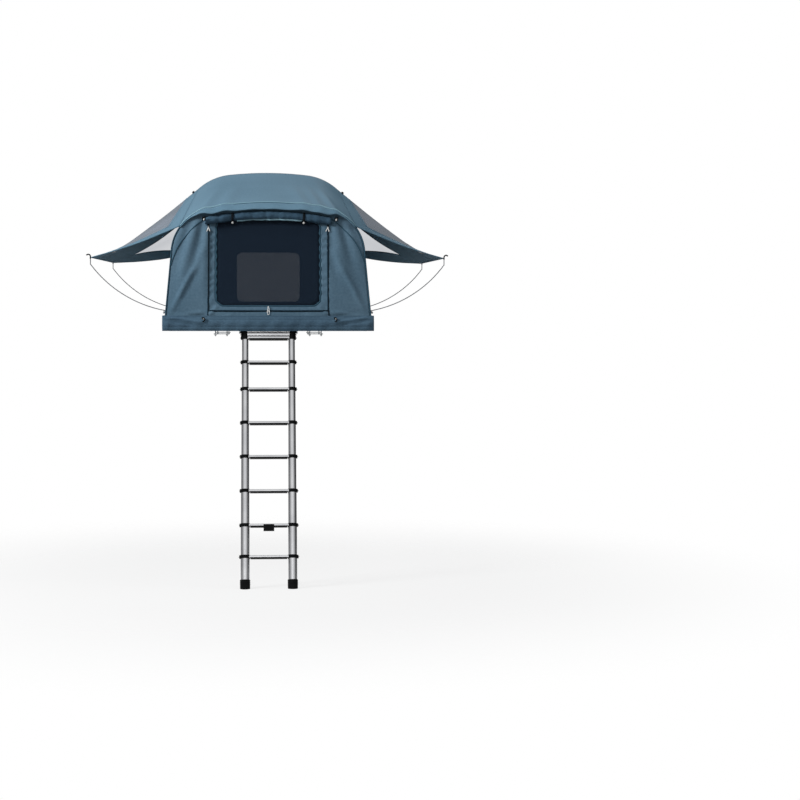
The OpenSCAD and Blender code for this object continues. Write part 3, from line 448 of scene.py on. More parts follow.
def metal(name, pale, deep, grain, stretch, rough, **values):
    """Bare metal on Object coordinates: a fine grain drawn out along one axis."""
    material, tree, surface = shader(name, Metallic=1.0, **values)
    where = add(tree, "ShaderNodeTexCoord").outputs["Object"]
    drawn = add(tree, "ShaderNodeMapping", {"Vector": where, "Scale": stretch})
    scratch = add(tree, "ShaderNodeTexNoise", {"Vector": drawn, "Scale": 1 / grain, "Detail": 4.0})
    smudge = add(tree, "ShaderNodeTexNoise", {"Vector": where, "Scale": SMUDGES, "Detail": 2.0})
    stops = [(0.3, deep), (0.7, pale)]
    finished(tree, surface, smudge, stops, scratch, 0.0002, 0.25, (scratch, *rough))
    return material


def moulded(name, pale, deep, grit, rough, **values):
    """Moulded plastic or rubber with a fine spark-eroded grain."""
    material, tree, surface = shader(name, **values)
    where = add(tree, "ShaderNodeTexCoord").outputs["Object"]
    grain = add(tree, "ShaderNodeTexNoise", {"Vector": where, "Scale": 1 / grit, "Detail": 2.0})
    worn = add(tree, "ShaderNodeTexNoise", {"Vector": where, "Scale": WEAR, "Detail": 3.0})
    stops = [(0.35, deep), (0.7, pale)]
    finished(tree, surface, worn, stops, grain, 0.0003, 0.3, (grain, *rough))
    return material


# Poly-cotton canvas, dyed slate blue and coated: a dull, slightly uneven blue. Its 0.5 mm threads are too
# fine to show, so they are drawn 2.4 mm apart.
canvas = woven("polycotton_canvas", "#566f80", "#496273", 0.0024, 0.00012, Sheen_Weight=0.04)
# The same canvas in the skirt, made darker all over: painted shade of its folds.
shaded_skirt_canvas = woven("shaded_skirt_canvas", "#4b6476", "#405769", 0.0024, 0.00012, Sheen_Weight=0.03)
# Coated polyester of the rain fly: smoother and paler, with a faint sheen. Threads drawn 3 mm apart.
sheen = {"Sheen_Weight": 0.06, "Sheen_Roughness": 0.4}
fly_cloth = woven("coated_polyester", "#5d7b8d", "#527082", 0.003, 0.00008, patch=0.5, **sheen)
# The door flap's roll: the same canvas made darker, a painted shade of the fly's hem above it.
shaded_flap_canvas = woven("shaded_flap_canvas", "#3f586a", "#33495b", 0.0024, 0.00012)
# Bound edges and piping: a tight tape of the same dye, darker for its thickness.
binding = woven("binding_tape", "#34505f", "#294352", 0.0016, 0.0001, Sheen_Weight=0.05)
# A paler tape of the same dye: on the fly's crease its pale colour is a painted highlight; on the flap's hem
# it is partly a paler binding, partly painted highlight.
highlight_binding = woven("highlight_piping", "#86a8b4", "#7598a6", 0.0016, 0.0001, Sheen_Weight=0.1)
# Cotton cover of the foam mattresses: grey, soft, with a coarse weave drawn 3 mm apart.
ticking = woven("mattress_cover", "#8b9297", "#7b8388", 0.003, 0.0002, Sheen_Weight=0.2)
# Nylon webbing and zip tape: black-blue, ribbed.
webbing = woven("nylon_webbing", "#1c2126", "#12161a", 0.002, 0.0002)
zip_tape = woven("zip_tape", "#2a4150", "#203441", 0.0016, 0.0001)
thread = woven("sewing_thread", "#8aa5b5", "#7893a4", 0.001, 0.0001)

# Knitted insect mesh: black yarn with over a third of its face open. Its 1.2 mm holes are drawn 5 mm apart.
insect_mesh, tree, surface = shader("insect_mesh", Alpha=0.62, Roughness=0.8, Specular_IOR_Level=0.05)
warp, weft = threads(tree, add(tree, "ShaderNodeTexCoord").outputs["UV"], 0.005)
yarn = add(tree, "ShaderNodeMath", {0: warp, 1: weft}, operation="MAXIMUM")
finished(tree, surface, yarn, [(0.2, "#18222f"), (0.9, "#232f3d")], yarn, 0.0005, 0.4)


def soft_film(name, pale, deep, **values):
    """Soft vinyl film of the awning windows: slow ripples that its gloss shows, and that shift its colour
    between pale and deep, which on the front film is painted reflection.
    """
    material, tree, surface = shader(name, **values)
    where = add(tree, "ShaderNodeTexCoord").outputs["Object"]
    ripple = add(tree, "ShaderNodeTexNoise", {"Vector": where, "Scale": FILM_RIPPLES, "Detail": 1.0})
    finished(tree, surface, ripple, [(0.3, deep), (0.7, pale)], ripple, 0.004, 0.1)
    return material


# The front windows' film is pale grey and mostly opaque: a painted reflection of the bright sky in clear
# film. The small rear ones are clear and faintly milky. The clear film is too thin to bend the light that
# passes it.
sky_reflection_film = soft_film(
    "sky_reflection_film", "#828d9b", "#76818d", Alpha=0.8, Roughness=0.25, Specular_IOR_Level=0.15
)
clear_film = soft_film("clear_film", "#cfd1d4", "#c4c6ca", Transmission_Weight=1.0, Roughness=0.02, IOR=1.01)

# Satin anodised aluminium of the ladder: bright, drawn along the tubes.
ladder_metal = metal("anodised_aluminium", "#d2d3d5", "#c2c3c6", 0.004, (1, 1, 0.05), (0.18, 0.28))
# Extruded aluminium of the base: mill finish, drawn along X.
mill_metal = metal("mill_aluminium", "#b9bbbe", "#a4a7aa", 0.004, (0.05, 1, 1), (0.32, 0.5))
bow_metal = metal("bow_aluminium", "#a9acaf", "#96999c", 0.003, (1, 1, 1), (0.3, 0.45))
# Zinc-plated steel fittings: greyer and mottled.
zinc_steel = metal("zinc_steel", "#9fa2a4", "#85898c", 0.006, (1, 1, 1), (0.34, 0.5))
# Drawn spring steel of the awning rods: dark grey.
spring_steel = metal("spring_steel", "#7d8084", "#66696d", 0.002, (0.2, 1, 1), (0.3, 0.42))
nickel = metal("nickel_zip", "#d5d6d6", "#c4c5c6", 0.002, (1, 1, 1), (0.22, 0.34))
# Glass-filled nylon of the collars and strips, rubber of the feet: black, finely grained.
black_nylon = moulded("black_nylon", "#0e0f10", "#08090a", 0.0012, (0.42, 0.6), Specular_IOR_Level=0.08)
black_rubber = moulded("black_rubber", "#121213", "#0b0b0c", 0.0016, (0.6, 0.8), Specular_IOR_Level=0.1)
white_nylon = moulded("white_nylon", "#e9e9e6", "#dadad6", 0.001, (0.4, 0.55))
# Painted skin of the floor panels.
floor_paint = moulded("floor_skin", "#a7abae", "#979b9f", 0.0015, (0.45, 0.6))

CAD_FINISH = {
    mill_metal: ["mounting_rails", "rear_frame", "front_frame"],
    zinc_steel: ["crossbar_clamps", "hinge_pins", "ladder_brackets"]
    + [f"{e}_hinge_plates" for e in END_NAME.values()],
    floor_paint: ["rear_floor", "front_floor"],
    bow_metal: ["rear_bow", "middle_bow", "front_bow"],
    spring_steel: [f"{e}_{s}_rod" for e in END_NAME.values() for s in SIDE_NAME.values()],
    ladder_metal: [f"ladder_section_{k}" for k in range(1, 11)],
    black_nylon: [f"ladder_collars_{k}" for k in range(1, 11)],
    black_rubber: ["ladder_feet"],
}
for material, names in CAD_FINISH.items():
    for name in names:
        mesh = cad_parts[name].data
        mesh.materials.clear()
        mesh.materials.append(material)


# Small repeated things, by Geometry Nodes


def repeat_tree(name, round_shape):
    """A tree that sets small pads along curves: stitches, or the teeth of a zip."""
    tree = bpy.data.node_groups.new(name, "GeometryNodeTree")
    face = tree.interface
    face.new_socket("Lines", in_out="INPUT", socket_type="NodeSocketGeometry")
    for label in ("Spacing", "Length", "Width", "Height"):
        face.new_socket(label, in_out="INPUT", socket_type="NodeSocketFloat")
    face.new_socket("Finish", in_out="INPUT", socket_type="NodeSocketMaterial")
    face.new_socket("Pads", in_out="OUTPUT", socket_type="NodeSocketGeometry")
    given = add(tree, "NodeGroupInput").outputs
    curve = add(tree, "GeometryNodeMeshToCurve", {"Mesh": given["Lines"]})
    steps = {"Curve": curve, "Length": given["Spacing"]}
    spots = add(tree, "GeometryNodeResampleCurve", steps, mode="LENGTH")
    if round_shape:
        pad = add(tree, "GeometryNodeMeshUVSphere", {"Segments": 6, "Rings": 4, "Radius": 0.5})
    else:
        pad = add(tree, "GeometryNodeMeshCube", {"Size": (1, 1, 1)})
    sizes = {"X": given["Length"], "Y": given["Width"], "Z": given["Height"]}
    size = add(tree, "ShaderNodeCombineXYZ", sizes)
    ahead = add(tree, "GeometryNodeInputTangent")
    out = add(tree, "GeometryNodeInputNamedAttribute", {"Name": "out"}, data_type="FLOAT_VECTOR")
    turn = add(tree, "FunctionNodeAlignRotationToVector", {"Vector": ahead}, axis="X")
    facing = {"Rotation": turn, "Vector": out}
    turn = add(tree, "FunctionNodeAlignRotationToVector", facing, axis="Z", pivot_axis="X")
    pads = {"Points": spots, "Instance": pad, "Rotation": turn, "Scale": size}
    pads = add(tree, "GeometryNodeInstanceOnPoints", pads)
    real = add(tree, "GeometryNodeRealizeInstances", {"Geometry": pads})
    done = add(tree, "GeometryNodeSetMaterial", {"Geometry": real, "Material": given["Finish"]})
    add(tree, "NodeGroupOutput", {0: done})
    return tree


STITCHES = repeat_tree("stitches", True)
TEETH = repeat_tree("zip_teeth", False)


def repeated(name, tree, lines, outs, spacing, size, material):
    """A plain mesh of pads along lines of points, each line with the direction its cloth faces."""
    vertices, edges, ups = [], [], []
    for line, out in zip(lines, outs):
        start = len(vertices)
        line = np.asarray(line, float)
        vertices += line.tolist()
        ups += np.broadcast_to(np.asarray(out, float), line.shape).tolist()
        edges += [(start + i, start + i + 1) for i in range(len(line) - 1)]
    mesh = bpy.data.meshes.new(name)
    mesh.from_pydata(vertices, edges, [])
    mesh.attributes.new("out", "FLOAT_VECTOR", "POINT").data.foreach_set("vector", np.ravel(ups))
    piece = bpy.data.objects.new(name, mesh)
    bpy.context.scene.collection.objects.link(piece)
    modifier = piece.modifiers.new("pads", "NODES")
    modifier.node_group = tree
    values = dict(zip(("Spacing", "Length", "Width", "Height"), (spacing, *size)), Finish=material)
    for item in tree.interface.items_tree:
        if item.in_out == "INPUT" and item.name in values:
            modifier[item.identifier] = values[item.name]
    baked(piece)
    if not piece.data.uv_layers:
        piece.data.uv_layers.new(name="cloth")
    return piece


def stitched(name, lines, outs):
    return repeated(name, STITCHES, lines, outs, STITCH_PITCH, STITCH, thread)


# Canopy


def crease(x, u, start, end, width, depth):
    """A soft ridge between two points of a cloth, tapered at its ends."""
    (x0, u0), (x1, u1) = start, end
    dx, du = x1 - x0, u1 - u0
    t = ((x - x0) * dx + (u - u0) * du) / (dx * dx + du * du)
    across = ((x - x0) * du - (u - u0) * dx) / math.hypot(dx, du)
    fade = smooth(-0.12, 0.15, t) * (1 - smooth(0.85, 1.12, t))
    return depth * fade * np.exp(-((across / width) ** 2))


def ripples(a, b, size):
    """Slow, uneven waves of about unit height."""
    return (
        np.sin(a / size + 1.7 * np.sin(b / size * 0.6))
        + 0.6 * np.sin(b / size * 1.3 + 2.1 + 0.8 * np.sin(a / size * 0.9))
        + 0.4 * np.sin((a + b) / size * 2.1 + 0.7)
    ) / 2


def canopy_section(t, low, window, head, arc, crown):
    """Half a cross-section of the canopy, from its foot to the crown, with the steps of each stretch."""
    shoulder, centre, foot, top, big, turn = arch(t, SAG)
    heights = np.concatenate(
        [
            np.linspace(BASE_TOP + 0.0003, SIDE_SILL, low, endpoint=False),
            np.linspace(SIDE_SILL, foot - SIDE_HEAD, window, endpoint=False),
            np.linspace(foot - SIDE_HEAD, foot, head, endpoint=False),
        ]
    )
    a = np.linspace(0, math.pi / 2 - turn, arc, endpoint=False)
    b = np.linspace(turn, 0, crown)
    x = np.concatenate([side_x(heights), centre + shoulder * np.cos(a), big * np.sin(b)])
    z = np.concatenate([heights, foot + shoulder * np.sin(a), top - big + big * np.cos(b)])
    return x, z


def both_sides(x, z):
    """A whole cross-section, from left to right, out of its right half."""
    return np.concatenate([-x, x[-2::-1]]), np.concatenate([z, z[-2::-1]])


STEPS = (6, 14, 3, 18, 16)
SHARES = np.concatenate(
    [
        np.linspace(0, SIDE_NEAR, 5)[:-1],
        np.linspace(SIDE_NEAR, SIDE_FAR, 22)[:-1],
        np.linspace(SIDE_FAR, 1, 10),
    ]
)


def canopy_tunnel(side):
    """Roof and side walls in one sheet, drawn in between the bows, with an opening in each side."""
    rows, shares = [], []
    for t in SHARES:
        x, z = both_sides(*canopy_section(t, *STEPS))
        v = half_v(z, t)
        # the sides are drawn in a little between the bows, most at half height
        girth = np.concatenate([[0], np.cumsum(np.hypot(np.diff(x), np.diff(z)))])
        low = smooth(0.1, 0.25, z) * (1 - smooth(0.55, 0.9, z))
        between = math.sin(math.pi * t) ** 2
        pull = 0.008 * low * between + 0.002 * (1 + ripples(girth, v + 0.3 * side, 0.11)) * low * between
        rows.append(place(side, x - np.sign(x) * pull, v, z))
        shares.append(np.stack([girth, v], axis=1))
    grid = np.array(rows)
    cells = grid.shape[1] - 1
    keep = np.ones((len(SHARES) - 1, cells), bool)
    first, last = STEPS[0], STEPS[0] + STEPS[1]
    opened = (SHARES[:-1] > SIDE_NEAR - 1e-4) & (SHARES[1:] < SIDE_FAR + 1e-4)
    for i in np.flatnonzero(opened):
        keep[i, first:last] = False
        keep[i, cells - last : cells - first] = False
    faces = turned(grid_faces(*grid.shape[:2], keep), side == FRONT)
    piece = make(f"{END_NAME[side]}_tunnel", grid, faces, canvas, np.array(shares))
    return thicken(piece, CANVAS_T, -1)


def opening_middle(opening):
    return (up_wall(opening[1]) + up_wall(opening[2])) / 2


def opening_reach(opening, c, s):
    """Distance from the middle of an opening to its rounded edge, along a direction."""
    width, low, high, radius = opening
    half = (up_wall(high) - up_wall(low)) / 2
    reach = 1 / np.maximum(np.abs(c) / width, np.abs(s) / half)
    corner_x, corner_u = width - radius, half - radius
    b = np.abs(c) * corner_x + np.abs(s) * corner_u
    past = np.sqrt(np.maximum(b * b - (corner_x**2 + corner_u**2 - radius * radius), 0))
    return np.where((np.abs(reach * c) > corner_x) & (np.abs(reach * s) > corner_u), b + past, reach)


def ring_of(opening, count):
    """Points round an opening of a wall, anticlockwise from the right, evenly by angle."""
    angle = np.arange(count) / count * 2 * math.pi
    c, s = np.cos(angle), np.sin(angle)
    reach = opening_reach(opening, c, s)
    return reach * c, reach * s + opening_middle(opening)


def wall_rays(opening, x, u):
    """Directions and distances of points from the middle of an opening, and how far the wall goes there."""
    middle = opening_middle(opening)
    length = np.hypot(x, u - middle)
    c, s = x / length, (u - middle) / length
    edge_x, edge_z = canopy_section(1.0, 8, 12, 4, 30, 24)
    edge_u = up_wall(edge_z) - np.where(edge_z > 0.5, WALL_INSET * 0.6, 0)
    px, pu = both_sides(np.maximum(edge_x - WALL_INSET, 0), edge_u)
    pu = pu - middle
    dx, du = np.roll(px, -1) - px, np.roll(pu, -1) - pu
    # where each direction meets each stretch of the outline
    det = np.outer(c, du) - np.outer(s, dx)
    det[np.abs(det) < 1e-12] = np.nan
    along = (px * du - pu * dx) / det
    share = (np.outer(s, px) - np.outer(c, pu)) / det
    met = (along > 0) & (share >= -1e-9) & (share <= 1 + 1e-9)
    return c, s, length, np.where(met, along, np.inf).min(axis=1)


# Pulls in a panel of the front wall: both ends (distance from the middle, distance up), width and height
PULLS = (
    ((0.5, 0.37), (0.655, 0.07), 0.016, 0.014),
    ((0.44, 0.52), (0.5, 0.34), 0.022, 0.010),
    ((0.40, 0.05), (0.34, 0.12), 0.012, 0.006),
    ((0.43, 0.075), (0.66, 0.045), 0.012, 0.006),
    ((0.44, 0.045), (0.68, 0.085), 0.012, -0.005),
    ((0.40, 0.01), (0.24, 0.055), 0.012, 0.005),
)


def front_relief(x, u):
    """How far the front wall stands out: billow, folds that hang from the arch and creases at the door."""
    side = np.abs(x)
    panel = smooth(0.36, 0.44, side)
    relief = 0.012 * panel * np.sin(math.pi * np.clip(u / 0.8, 0, 1))
    # folds that hang from the arch and fan out down the panels
    fan = (side - 0.36) / (0.09 + 0.16 * (1 - np.clip(u / 0.75, 0, 1)))
    hang = smooth(0.16, 0.5, u) * (1 - smooth(0.6, 0.78, u))
    relief += 0.009 * panel * hang * np.sin(7.5 * fan + 1.2 * np.sign(x))
    # puckers where the zip draws the cloth in beside the door
    tight = np.exp(-(((side - 0.378) / 0.018) ** 2)) * smooth(0.02, 0.1, u) * (1 - smooth(0.66, 0.72, u))
    relief += 0.0045 * tight * np.sin(u * 95 + 2 * np.sin(u * 23))
    # long diagonal pulls to the lower corners
    for hand in (LEFT, RIGHT):
        for pull in PULLS:
            relief += crease(hand * x, u, *pull)
    # the sill sags between the zips
    relief += 0.004 * (1 - panel) * np.sin(math.pi * np.clip(u / 0.12, 0, 1)) * (1 + 0.4 * np.cos(x * 19))
    return relief


def rear_relief(x, u):
    return 0.007 * np.sin(math.pi * np.clip(u / 0.8, 0, 1)) * (1 + 0.5 * ripples(x, u, 0.13))


def held(share):
    """How freely a wall moves, between its opening and its outline."""
    return np.minimum(1, 3.5 * (1 - share)) * np.minimum(1, 0.35 + 6 * share)


def on_front(x, u, out):
    """Points that lie out above the cloth of the front wall."""
    c, s, length, far = wall_rays(DOOR, x, u)
    start = opening_reach(DOOR, c, s)
    share = np.clip((length - start) / (far - start), 0, 1)
    return on_wall(FRONT, x, u, front_relief(x, u) * held(share) + out)


def end_wall(side, opening, relief):
    """End wall as a ring of cloth between its opening and its outline."""
    count, rings = 320, 26
    px, pu = ring_of(opening, count)
    middle = opening_middle(opening)
    c, s, length, far = wall_rays(opening, px, pu)
    share = np.linspace(0, 1, rings)[:, None]
    reach = length[None] + (far - length)[None] * share
    x, u = reach * c[None], middle + reach * s[None]
    points = on_wall(side, x, u, relief(x, u) * held(share))
    faces = turned(grid_faces(rings, count, wrap=True), side == REAR)
    name = f"{END_NAME[side]}_wall"
    piece = make(name, points.reshape(-1, 3), faces, canvas, np.stack([x, u], axis=2))
    return thicken(piece, CANVAS_T, -1)


def mesh_panel(side, opening):
    """Insect mesh in the opening of an end wall, slack by a few millimetres."""
    count, rings = 96, 12
    px, pu = ring_of(opening, count)
    middle = opening_middle(opening)
    share = np.linspace(1, 0.0, rings)[:, None]
    x, u = px[None] * share, middle + (pu - middle)[None] * share
    slack = -0.001 - 0.006 * (1 - share**2) + 0.001 * ripples(x, u, 0.1) * (1 - share)
    points = on_wall(side, x, u, slack).reshape(-1, 3)
    uv = np.stack([x, u], axis=2).reshape(-1, 2)
    faces = turned(grid_faces(rings, count, wrap=True), side == FRONT)
    return thicken(mended(make("mesh", points, faces, insect_mesh, uv), 1e-6), NET_T, 0)


def side_mesh(side, hand):
    """Insect mesh of a side window."""
    rows = np.linspace(SIDE_NEAR, SIDE_FAR, 14)
    cols = np.linspace(0, 1, 9)
    grid, uv = [], []
    for t in rows:
        foot = arch(t, SAG)[2]
        z = mix(SIDE_SILL, foot - SIDE_HEAD, cols)
        v = half_v(z, t)
        inward = 0.001 + 0.008 * math.sin(math.pi * t) ** 2
        grid.append(place(side, hand * (side_x(z) - inward), v, z))
        uv.append(np.stack([v, z], axis=1))
    faces = turned(grid_faces(len(rows), len(cols)), side * hand < 0)
    return thicken(make("side_mesh", np.array(grid), faces, insect_mesh, np.array(uv)), NET_T, 0)


for side, opening, relief in ((FRONT, DOOR, front_relief), (REAR, REAR_WINDOW, rear_relief)):
    end = END_NAME[side]
    body = f"{end}_base"
    shell = merged(f"{end}_canopy_cloth", [canopy_tunnel(side), end_wall(side, opening, relief)])
    dress(shell, body, [f"{end}_canopy"], packs=True)
    nets = [mesh_panel(side, opening)] + [side_mesh(side, hand) for hand in (LEFT, RIGHT)]
    nets = merged(f"{end}_mesh_panels", nets)
    dress(nets, body, [f"{end}_meshes"], packs=True)

    # piping round the edge of the end wall and round the opening
    x, z = both_sides(*canopy_section(1.0, 10, 16, 4, 30, 24))
    arch_line = on_wall(side, x, up_wall(z), 0.003)
    piping = tube(f"{end}_wall_piping", arch_line, 0.0045, binding, up=wall_normal(side))
    dress(piping, body, packs=True)
    px, pu = ring_of(opening, 160)
    # the mesh of the door is gathered along its upright edges
    gather = (0.004 + 0.004 * np.sin(pu * 112)) * (side == FRONT) * smooth(0.30, 0.345, np.abs(px))
    ring = on_wall(side, px - np.sign(px) * gather, pu, 0.0015)
    name = f"{end}_opening_binding"
    edge = tube(name, ring, 0.006, binding, closed=True, squeeze=0.4, up=wall_normal(side))
    dress(edge, body, packs=True)
    for hand in (LEFT, RIGHT):
        loop = []
        for t, share in (
            [(t, 0) for t in np.linspace(SIDE_NEAR, SIDE_FAR, 20)]
            + [(SIDE_FAR, s) for s in np.linspace(0, 1, 12)[1:]]
            + [(t, 1) for t in np.linspace(SIDE_FAR, SIDE_NEAR, 20)[1:]]
            + [(SIDE_NEAR, s) for s in np.linspace(1, 0, 12)[1:-1]]
        ):
            z = mix(SIDE_SILL, arch(t, SAG)[2] - SIDE_HEAD, share)
            inward = 0.007 * math.sin(math.pi * t) ** 2
            loop.append(place(side, hand * (side_x(z) + 0.001 - inward), half_v(z, t), z))
        name = f"{end}_{SIDE_NAME[hand]}_window_binding"
        frame_tape = tube(name, loop, 0.007, binding, closed=True, squeeze=0.35, up=(hand, 0, 0))
        dress(frame_tape, body, packs=True)


# Rain fly


def fly_point(side, t, x, off):
    z = arch_z(t, off, 0, x)
    return place(side, x, half_v(z, t), z)


FLY_ROWS = 34
# Pulls over the fly: side, share of the half width at the hem, and width
FLY_PULLS = ((1, 0.42, 0.10), (1, 0.60, 0.07), (-1, 0.50, 0.09), (1, 0.78, 0.06), (-1, 0.74, 0.07))


def fly_half(side):
    """One half of the fly as one sheet, with soft pulls towards its corners and a hem past the end wall."""
    shares = np.linspace(0, 1, FLY_ROWS)
    across = np.linspace(-1, 1, 121)
    rows, uv = [], []
    for t in shares:
        x = across * (seam_x(t) - 0.0003)
        # pulls that run from the corners of the hem up over the roof
        pull = 0.0
        for hand, at, run in FLY_PULLS:
            middle = hand * (at - 0.16 * (1 - t))
            pull = pull + 0.012 * smooth(0.25, 0.8, t) * np.exp(-(((across - middle) / run) ** 2))
        slack = 0.0015 * (1 + ripples(across * 0.55, t + 0.2 * side, 0.16)) * math.sin(math.pi * t) ** 2
        rows.append(fly_point(side, t, x, FLY_OFF + pull * 0.8 + slack))
        uv.append(np.stack([x, np.full_like(x, t)], axis=1))
    edge = rows[-1]
    for h in np.linspace(0, 1, 9)[1:]:
        wave = 0.0016 * np.sin(across * 17 + 2 * np.sin(across * 5)) * h
        # the hem is cut shallow beside its buckles
        deep = 1 - 0.8 * smooth(0.36, 0.56, np.abs(edge[:, 0]))
        row = edge + np.outer(deep, [0, side * HEM_OUT * h, -HEM_DROP * h**1.15])
        row[:, 2] += wave * 0.6
        row[:, 1] += side * wave
        rows.append(row)
        uv.append(np.stack([across * SEAM_END, np.full_like(across, 1 + 0.09 * h)], axis=1))
    faces = turned(grid_faces(len(rows), len(across)), side == FRONT)
    piece = make(f"{END_NAME[side]}_fly_cloth", np.array(rows), faces, fly_cloth, np.array(uv))
    return thicken(piece, FLY_T, 0), np.array(rows)


def seam_line(side, hand, count=40):
    t = np.linspace(0, 1, count)
    return fly_point(side, t, hand * seam_x(t), FLY_OFF)


def awning_points(side, hand, a, s):
    """Points of an awning: share a from the fold line to the tip, share s from the seam to the outer edge."""
    a, s = np.broadcast_arrays(a, s)
    seam = fly_point(side, a, hand * seam_x(a), FLY_OFF)
    edge = place(side, hand * AWNING_X, mix(FOLD_GAP, AWNING_TIP, a), np.full(a.shape, AWNING_H))
    spots = seam + (edge - seam) * s[..., None]
    hang = (REAR_DROP if side == REAR else 0) * a**2 * (1 - s) * np.minimum(s / DROP_START, 1)
    slack = 0.0025 * ripples(s * 0.75 + 0.7 * hand, a + 0.4 * side, 0.12)
    spots[..., 2] -= hang + (AWNING_SAG - slack) * np.sin(math.pi * s)
    return spots


def awning_layout(side):
    """Shares of an awning's grid, and the cells of its window: a three-cornered one in the rear half."""
    if side == FRONT:
        a = np.concatenate([np.linspace(0, AWNING_FAR, 25)[:-1], np.linspace(AWNING_FAR, 1, 6)])
        width = np.hypot(AWNING_X - seam_x(a), mix(*AWNING_FALL, a))
        first, last = WINDOW_BORDER / width, 1 - AWNING_BORDER / width
        rows = slice(0, 24)
    else:
        near, corner, far = REAR_ROWS[2:5]
        stops = ((0, near, 11), (near, corner, 10), (corner, far, 10))
        a = np.concatenate([np.linspace(*stop)[:-1] for stop in stops] + [np.linspace(far, 1, 5)])
        first, last = np.full_like(a, DROP_START), np.interp(a, REAR_ROWS, REAR_REACH)
        rows = slice(10, 28)
    first, last = first[:, None], last[:, None]
    s = np.concatenate(
        [
            mix(0.0004, first, np.linspace(0, 1, 6)[None, :-1]),
            mix(first, last, np.linspace(0, 1, 15)[None, :-1]),
            mix(last, 1, np.linspace(0, 1, 11)[None]),
        ],
        axis=1,
    )
    return a[:, None], s, rows, slice(5, 19)


# the front film's pale colour is a painted reflection of the sky
FILM = {FRONT: sky_reflection_film, REAR: clear_film}
# A column of an awning's grid near the middle of its window
MID_COL = 10


def dropped(side, hand):
    """Axis and anchor, at rest, of the flattening that lies along Z once the awning has dropped."""
    start, end = seam_line(side, hand, 2)
    along = end - start
    if along[1] * hand < 0:
        along = -along
    turn = Matrix.Rotation(-DROP[side], 3, Vector(along))
    foot = Vector((hand * SEAM_MID, FOLD_Y, PACKED_AWNING_Z))
    return turn @ Vector((0, 0, 1)), Vector(start) + turn @ (foot - Vector(start))


for side in (FRONT, REAR):
    end = END_NAME[side]
    body = f"{end}_base"
    cloth, rows = fly_half(side)
    dress(cloth, body, [f"{end}_fly"], packs=True)

    crease_row = rows[FLY_ROWS - 1] + np.array([0, side * 0.001, 0.002])
    # the crease's pale piping is a painted highlight along the crease
    roof_piping = tube(f"{end}_roof_piping", crease_row, 0.0042, highlight_binding, up=(0, 0, 1))
    dress(roof_piping, body, packs=True)
    hem = tube(f"{end}_fly_hem", rows[-1], 0.005, fly_cloth, squeeze=0.7, up=(0, 0, 1))
    dress(hem, body, packs=True)
    lines = [rows[row] + np.array([0, side * 0.0014, 0.0014]) for row in (FLY_ROWS + 1, -2)]
    stitching = stitched(f"{end}_fly_stitches", lines, [(0, side * 0.55, 0.83)] * 2)
    dress(stitching, body, packs=True)

    for hand in (LEFT, RIGHT):
        name = f"{end}_{SIDE_NAME[hand]}"
        a, s, pane_rows, pane_cols = awning_layout(side)
        grid = awning_points(side, hand, a, s)
        keep = np.ones((grid.shape[0] - 1, grid.shape[1] - 1), bool)
        keep[pane_rows, pane_cols] = False
        uv = np.stack(np.broadcast_arrays(s * 0.75, a), axis=2)
        faces, film_faces = [
            turned(grid_faces(*grid.shape[:2], cells), side * hand > 0) for cells in (keep, ~keep)
        ]
        awning = make(f"{name}_awning_cloth", grid, faces, fly_cloth, uv)
        awning = thicken(mended(awning), AWNING_T, 0)
        packed = dropped(side, hand)
        wing = f"{name}_awning"
        dress(awning, wing, [wing], packs=True, packed=packed)

        film = make(f"{name}_clear_film", grid, film_faces, FILM[side], uv)
        film = thicken(mended(film), FILM_T, 0)
        dress(film, wing, [f"{name}_window"], packs=True, packed=packed)

        # bound edges, and tape and stitches round the window
        edge = np.concatenate([grid[:, -1], grid[-1, ::-1][1:]])
        bound = [tube("edge", edge, 0.0048, fly_cloth, squeeze=0.7)]
        near, far, start, stop = pane_rows.start, pane_rows.stop, pane_cols.start, pane_cols.stop
        loop = [grid[near : far + 1, start], grid[far, start + 1 : stop], grid[near : far + 1, stop][::-1]]
        if side == REAR:
            loop.append(grid[near, start:stop][::-1])
        middle = (near + far) // 2
        lengthwise = grid[middle + 1, MID_COL] - grid[middle - 1, MID_COL]
        normal = np.cross(lengthwise, grid[middle, MID_COL + 1] - grid[middle, MID_COL - 1])
        normal *= np.sign(normal[2]) / np.linalg.norm(normal)
        loop = np.concatenate(loop) + 0.0014 * normal
        bound.append(strip("tape", loop, 0.018, 0.0012, fly_cloth, normal))
        trim = merged(f"{name}_awning_binding", bound)
        dress(trim, wing, packs=True, packed=packed)
        lines = [grid[near : far + 2, start - 1], grid[:, stop + 1]]
        lines += [grid[far + 1, start - 1 : stop + 2], grid[:, -2]]
        lines = [line + 0.002 * normal for line in lines]
        seams = stitched(f"{name}_awning_stitches", lines, [normal] * 4)
        dress(seams, wing, packs=True, packed=packed)


# Piped seam of the front wall, from under the hem down to its sides

SEAM_X = (0.4265, 0.470, 0.528, 0.578, 0.613, 0.640, 0.655)
SEAM_Z = (0.763, 0.730, 0.675, 0.615, 0.559, 0.490, 0.438)
for hand in (LEFT, RIGHT):
    share = np.linspace(0, len(SEAM_X) - 1, 60)
    x, z = [np.interp(share, range(len(SEAM_X)), values) for values in (SEAM_X, SEAM_Z)]
    line = on_front(hand * x, up_wall(z), 0.002)
    line = (np.roll(line, 1, 0) + line + np.roll(line, -1, 0))[1:-1] / 3
    welt = tube(f"{SIDE_NAME[hand]}_front_wall_welt", line, 0.0042, binding, up=wall_normal(FRONT))
    dress(welt, "front_base", packs=True)


# Door flap, rolled up under the hem of the fly


def roll_middle(x):
    z = ROLL_Z - 0.045 * (x / ROLL_SPAN) ** 2
    return z, wall_v(z) + 0.027 / math.cos(TILT)


def round_roll(x, back, out, up):
    """Points round the middle of the roll at x, which lies back nearer the wall."""
    z, v = roll_middle(x)
    v = v - back + out * math.cos(TILT) - up * math.sin(TILT)
    return place(FRONT, x, v, z + out * math.sin(TILT) + up * math.cos(TILT))


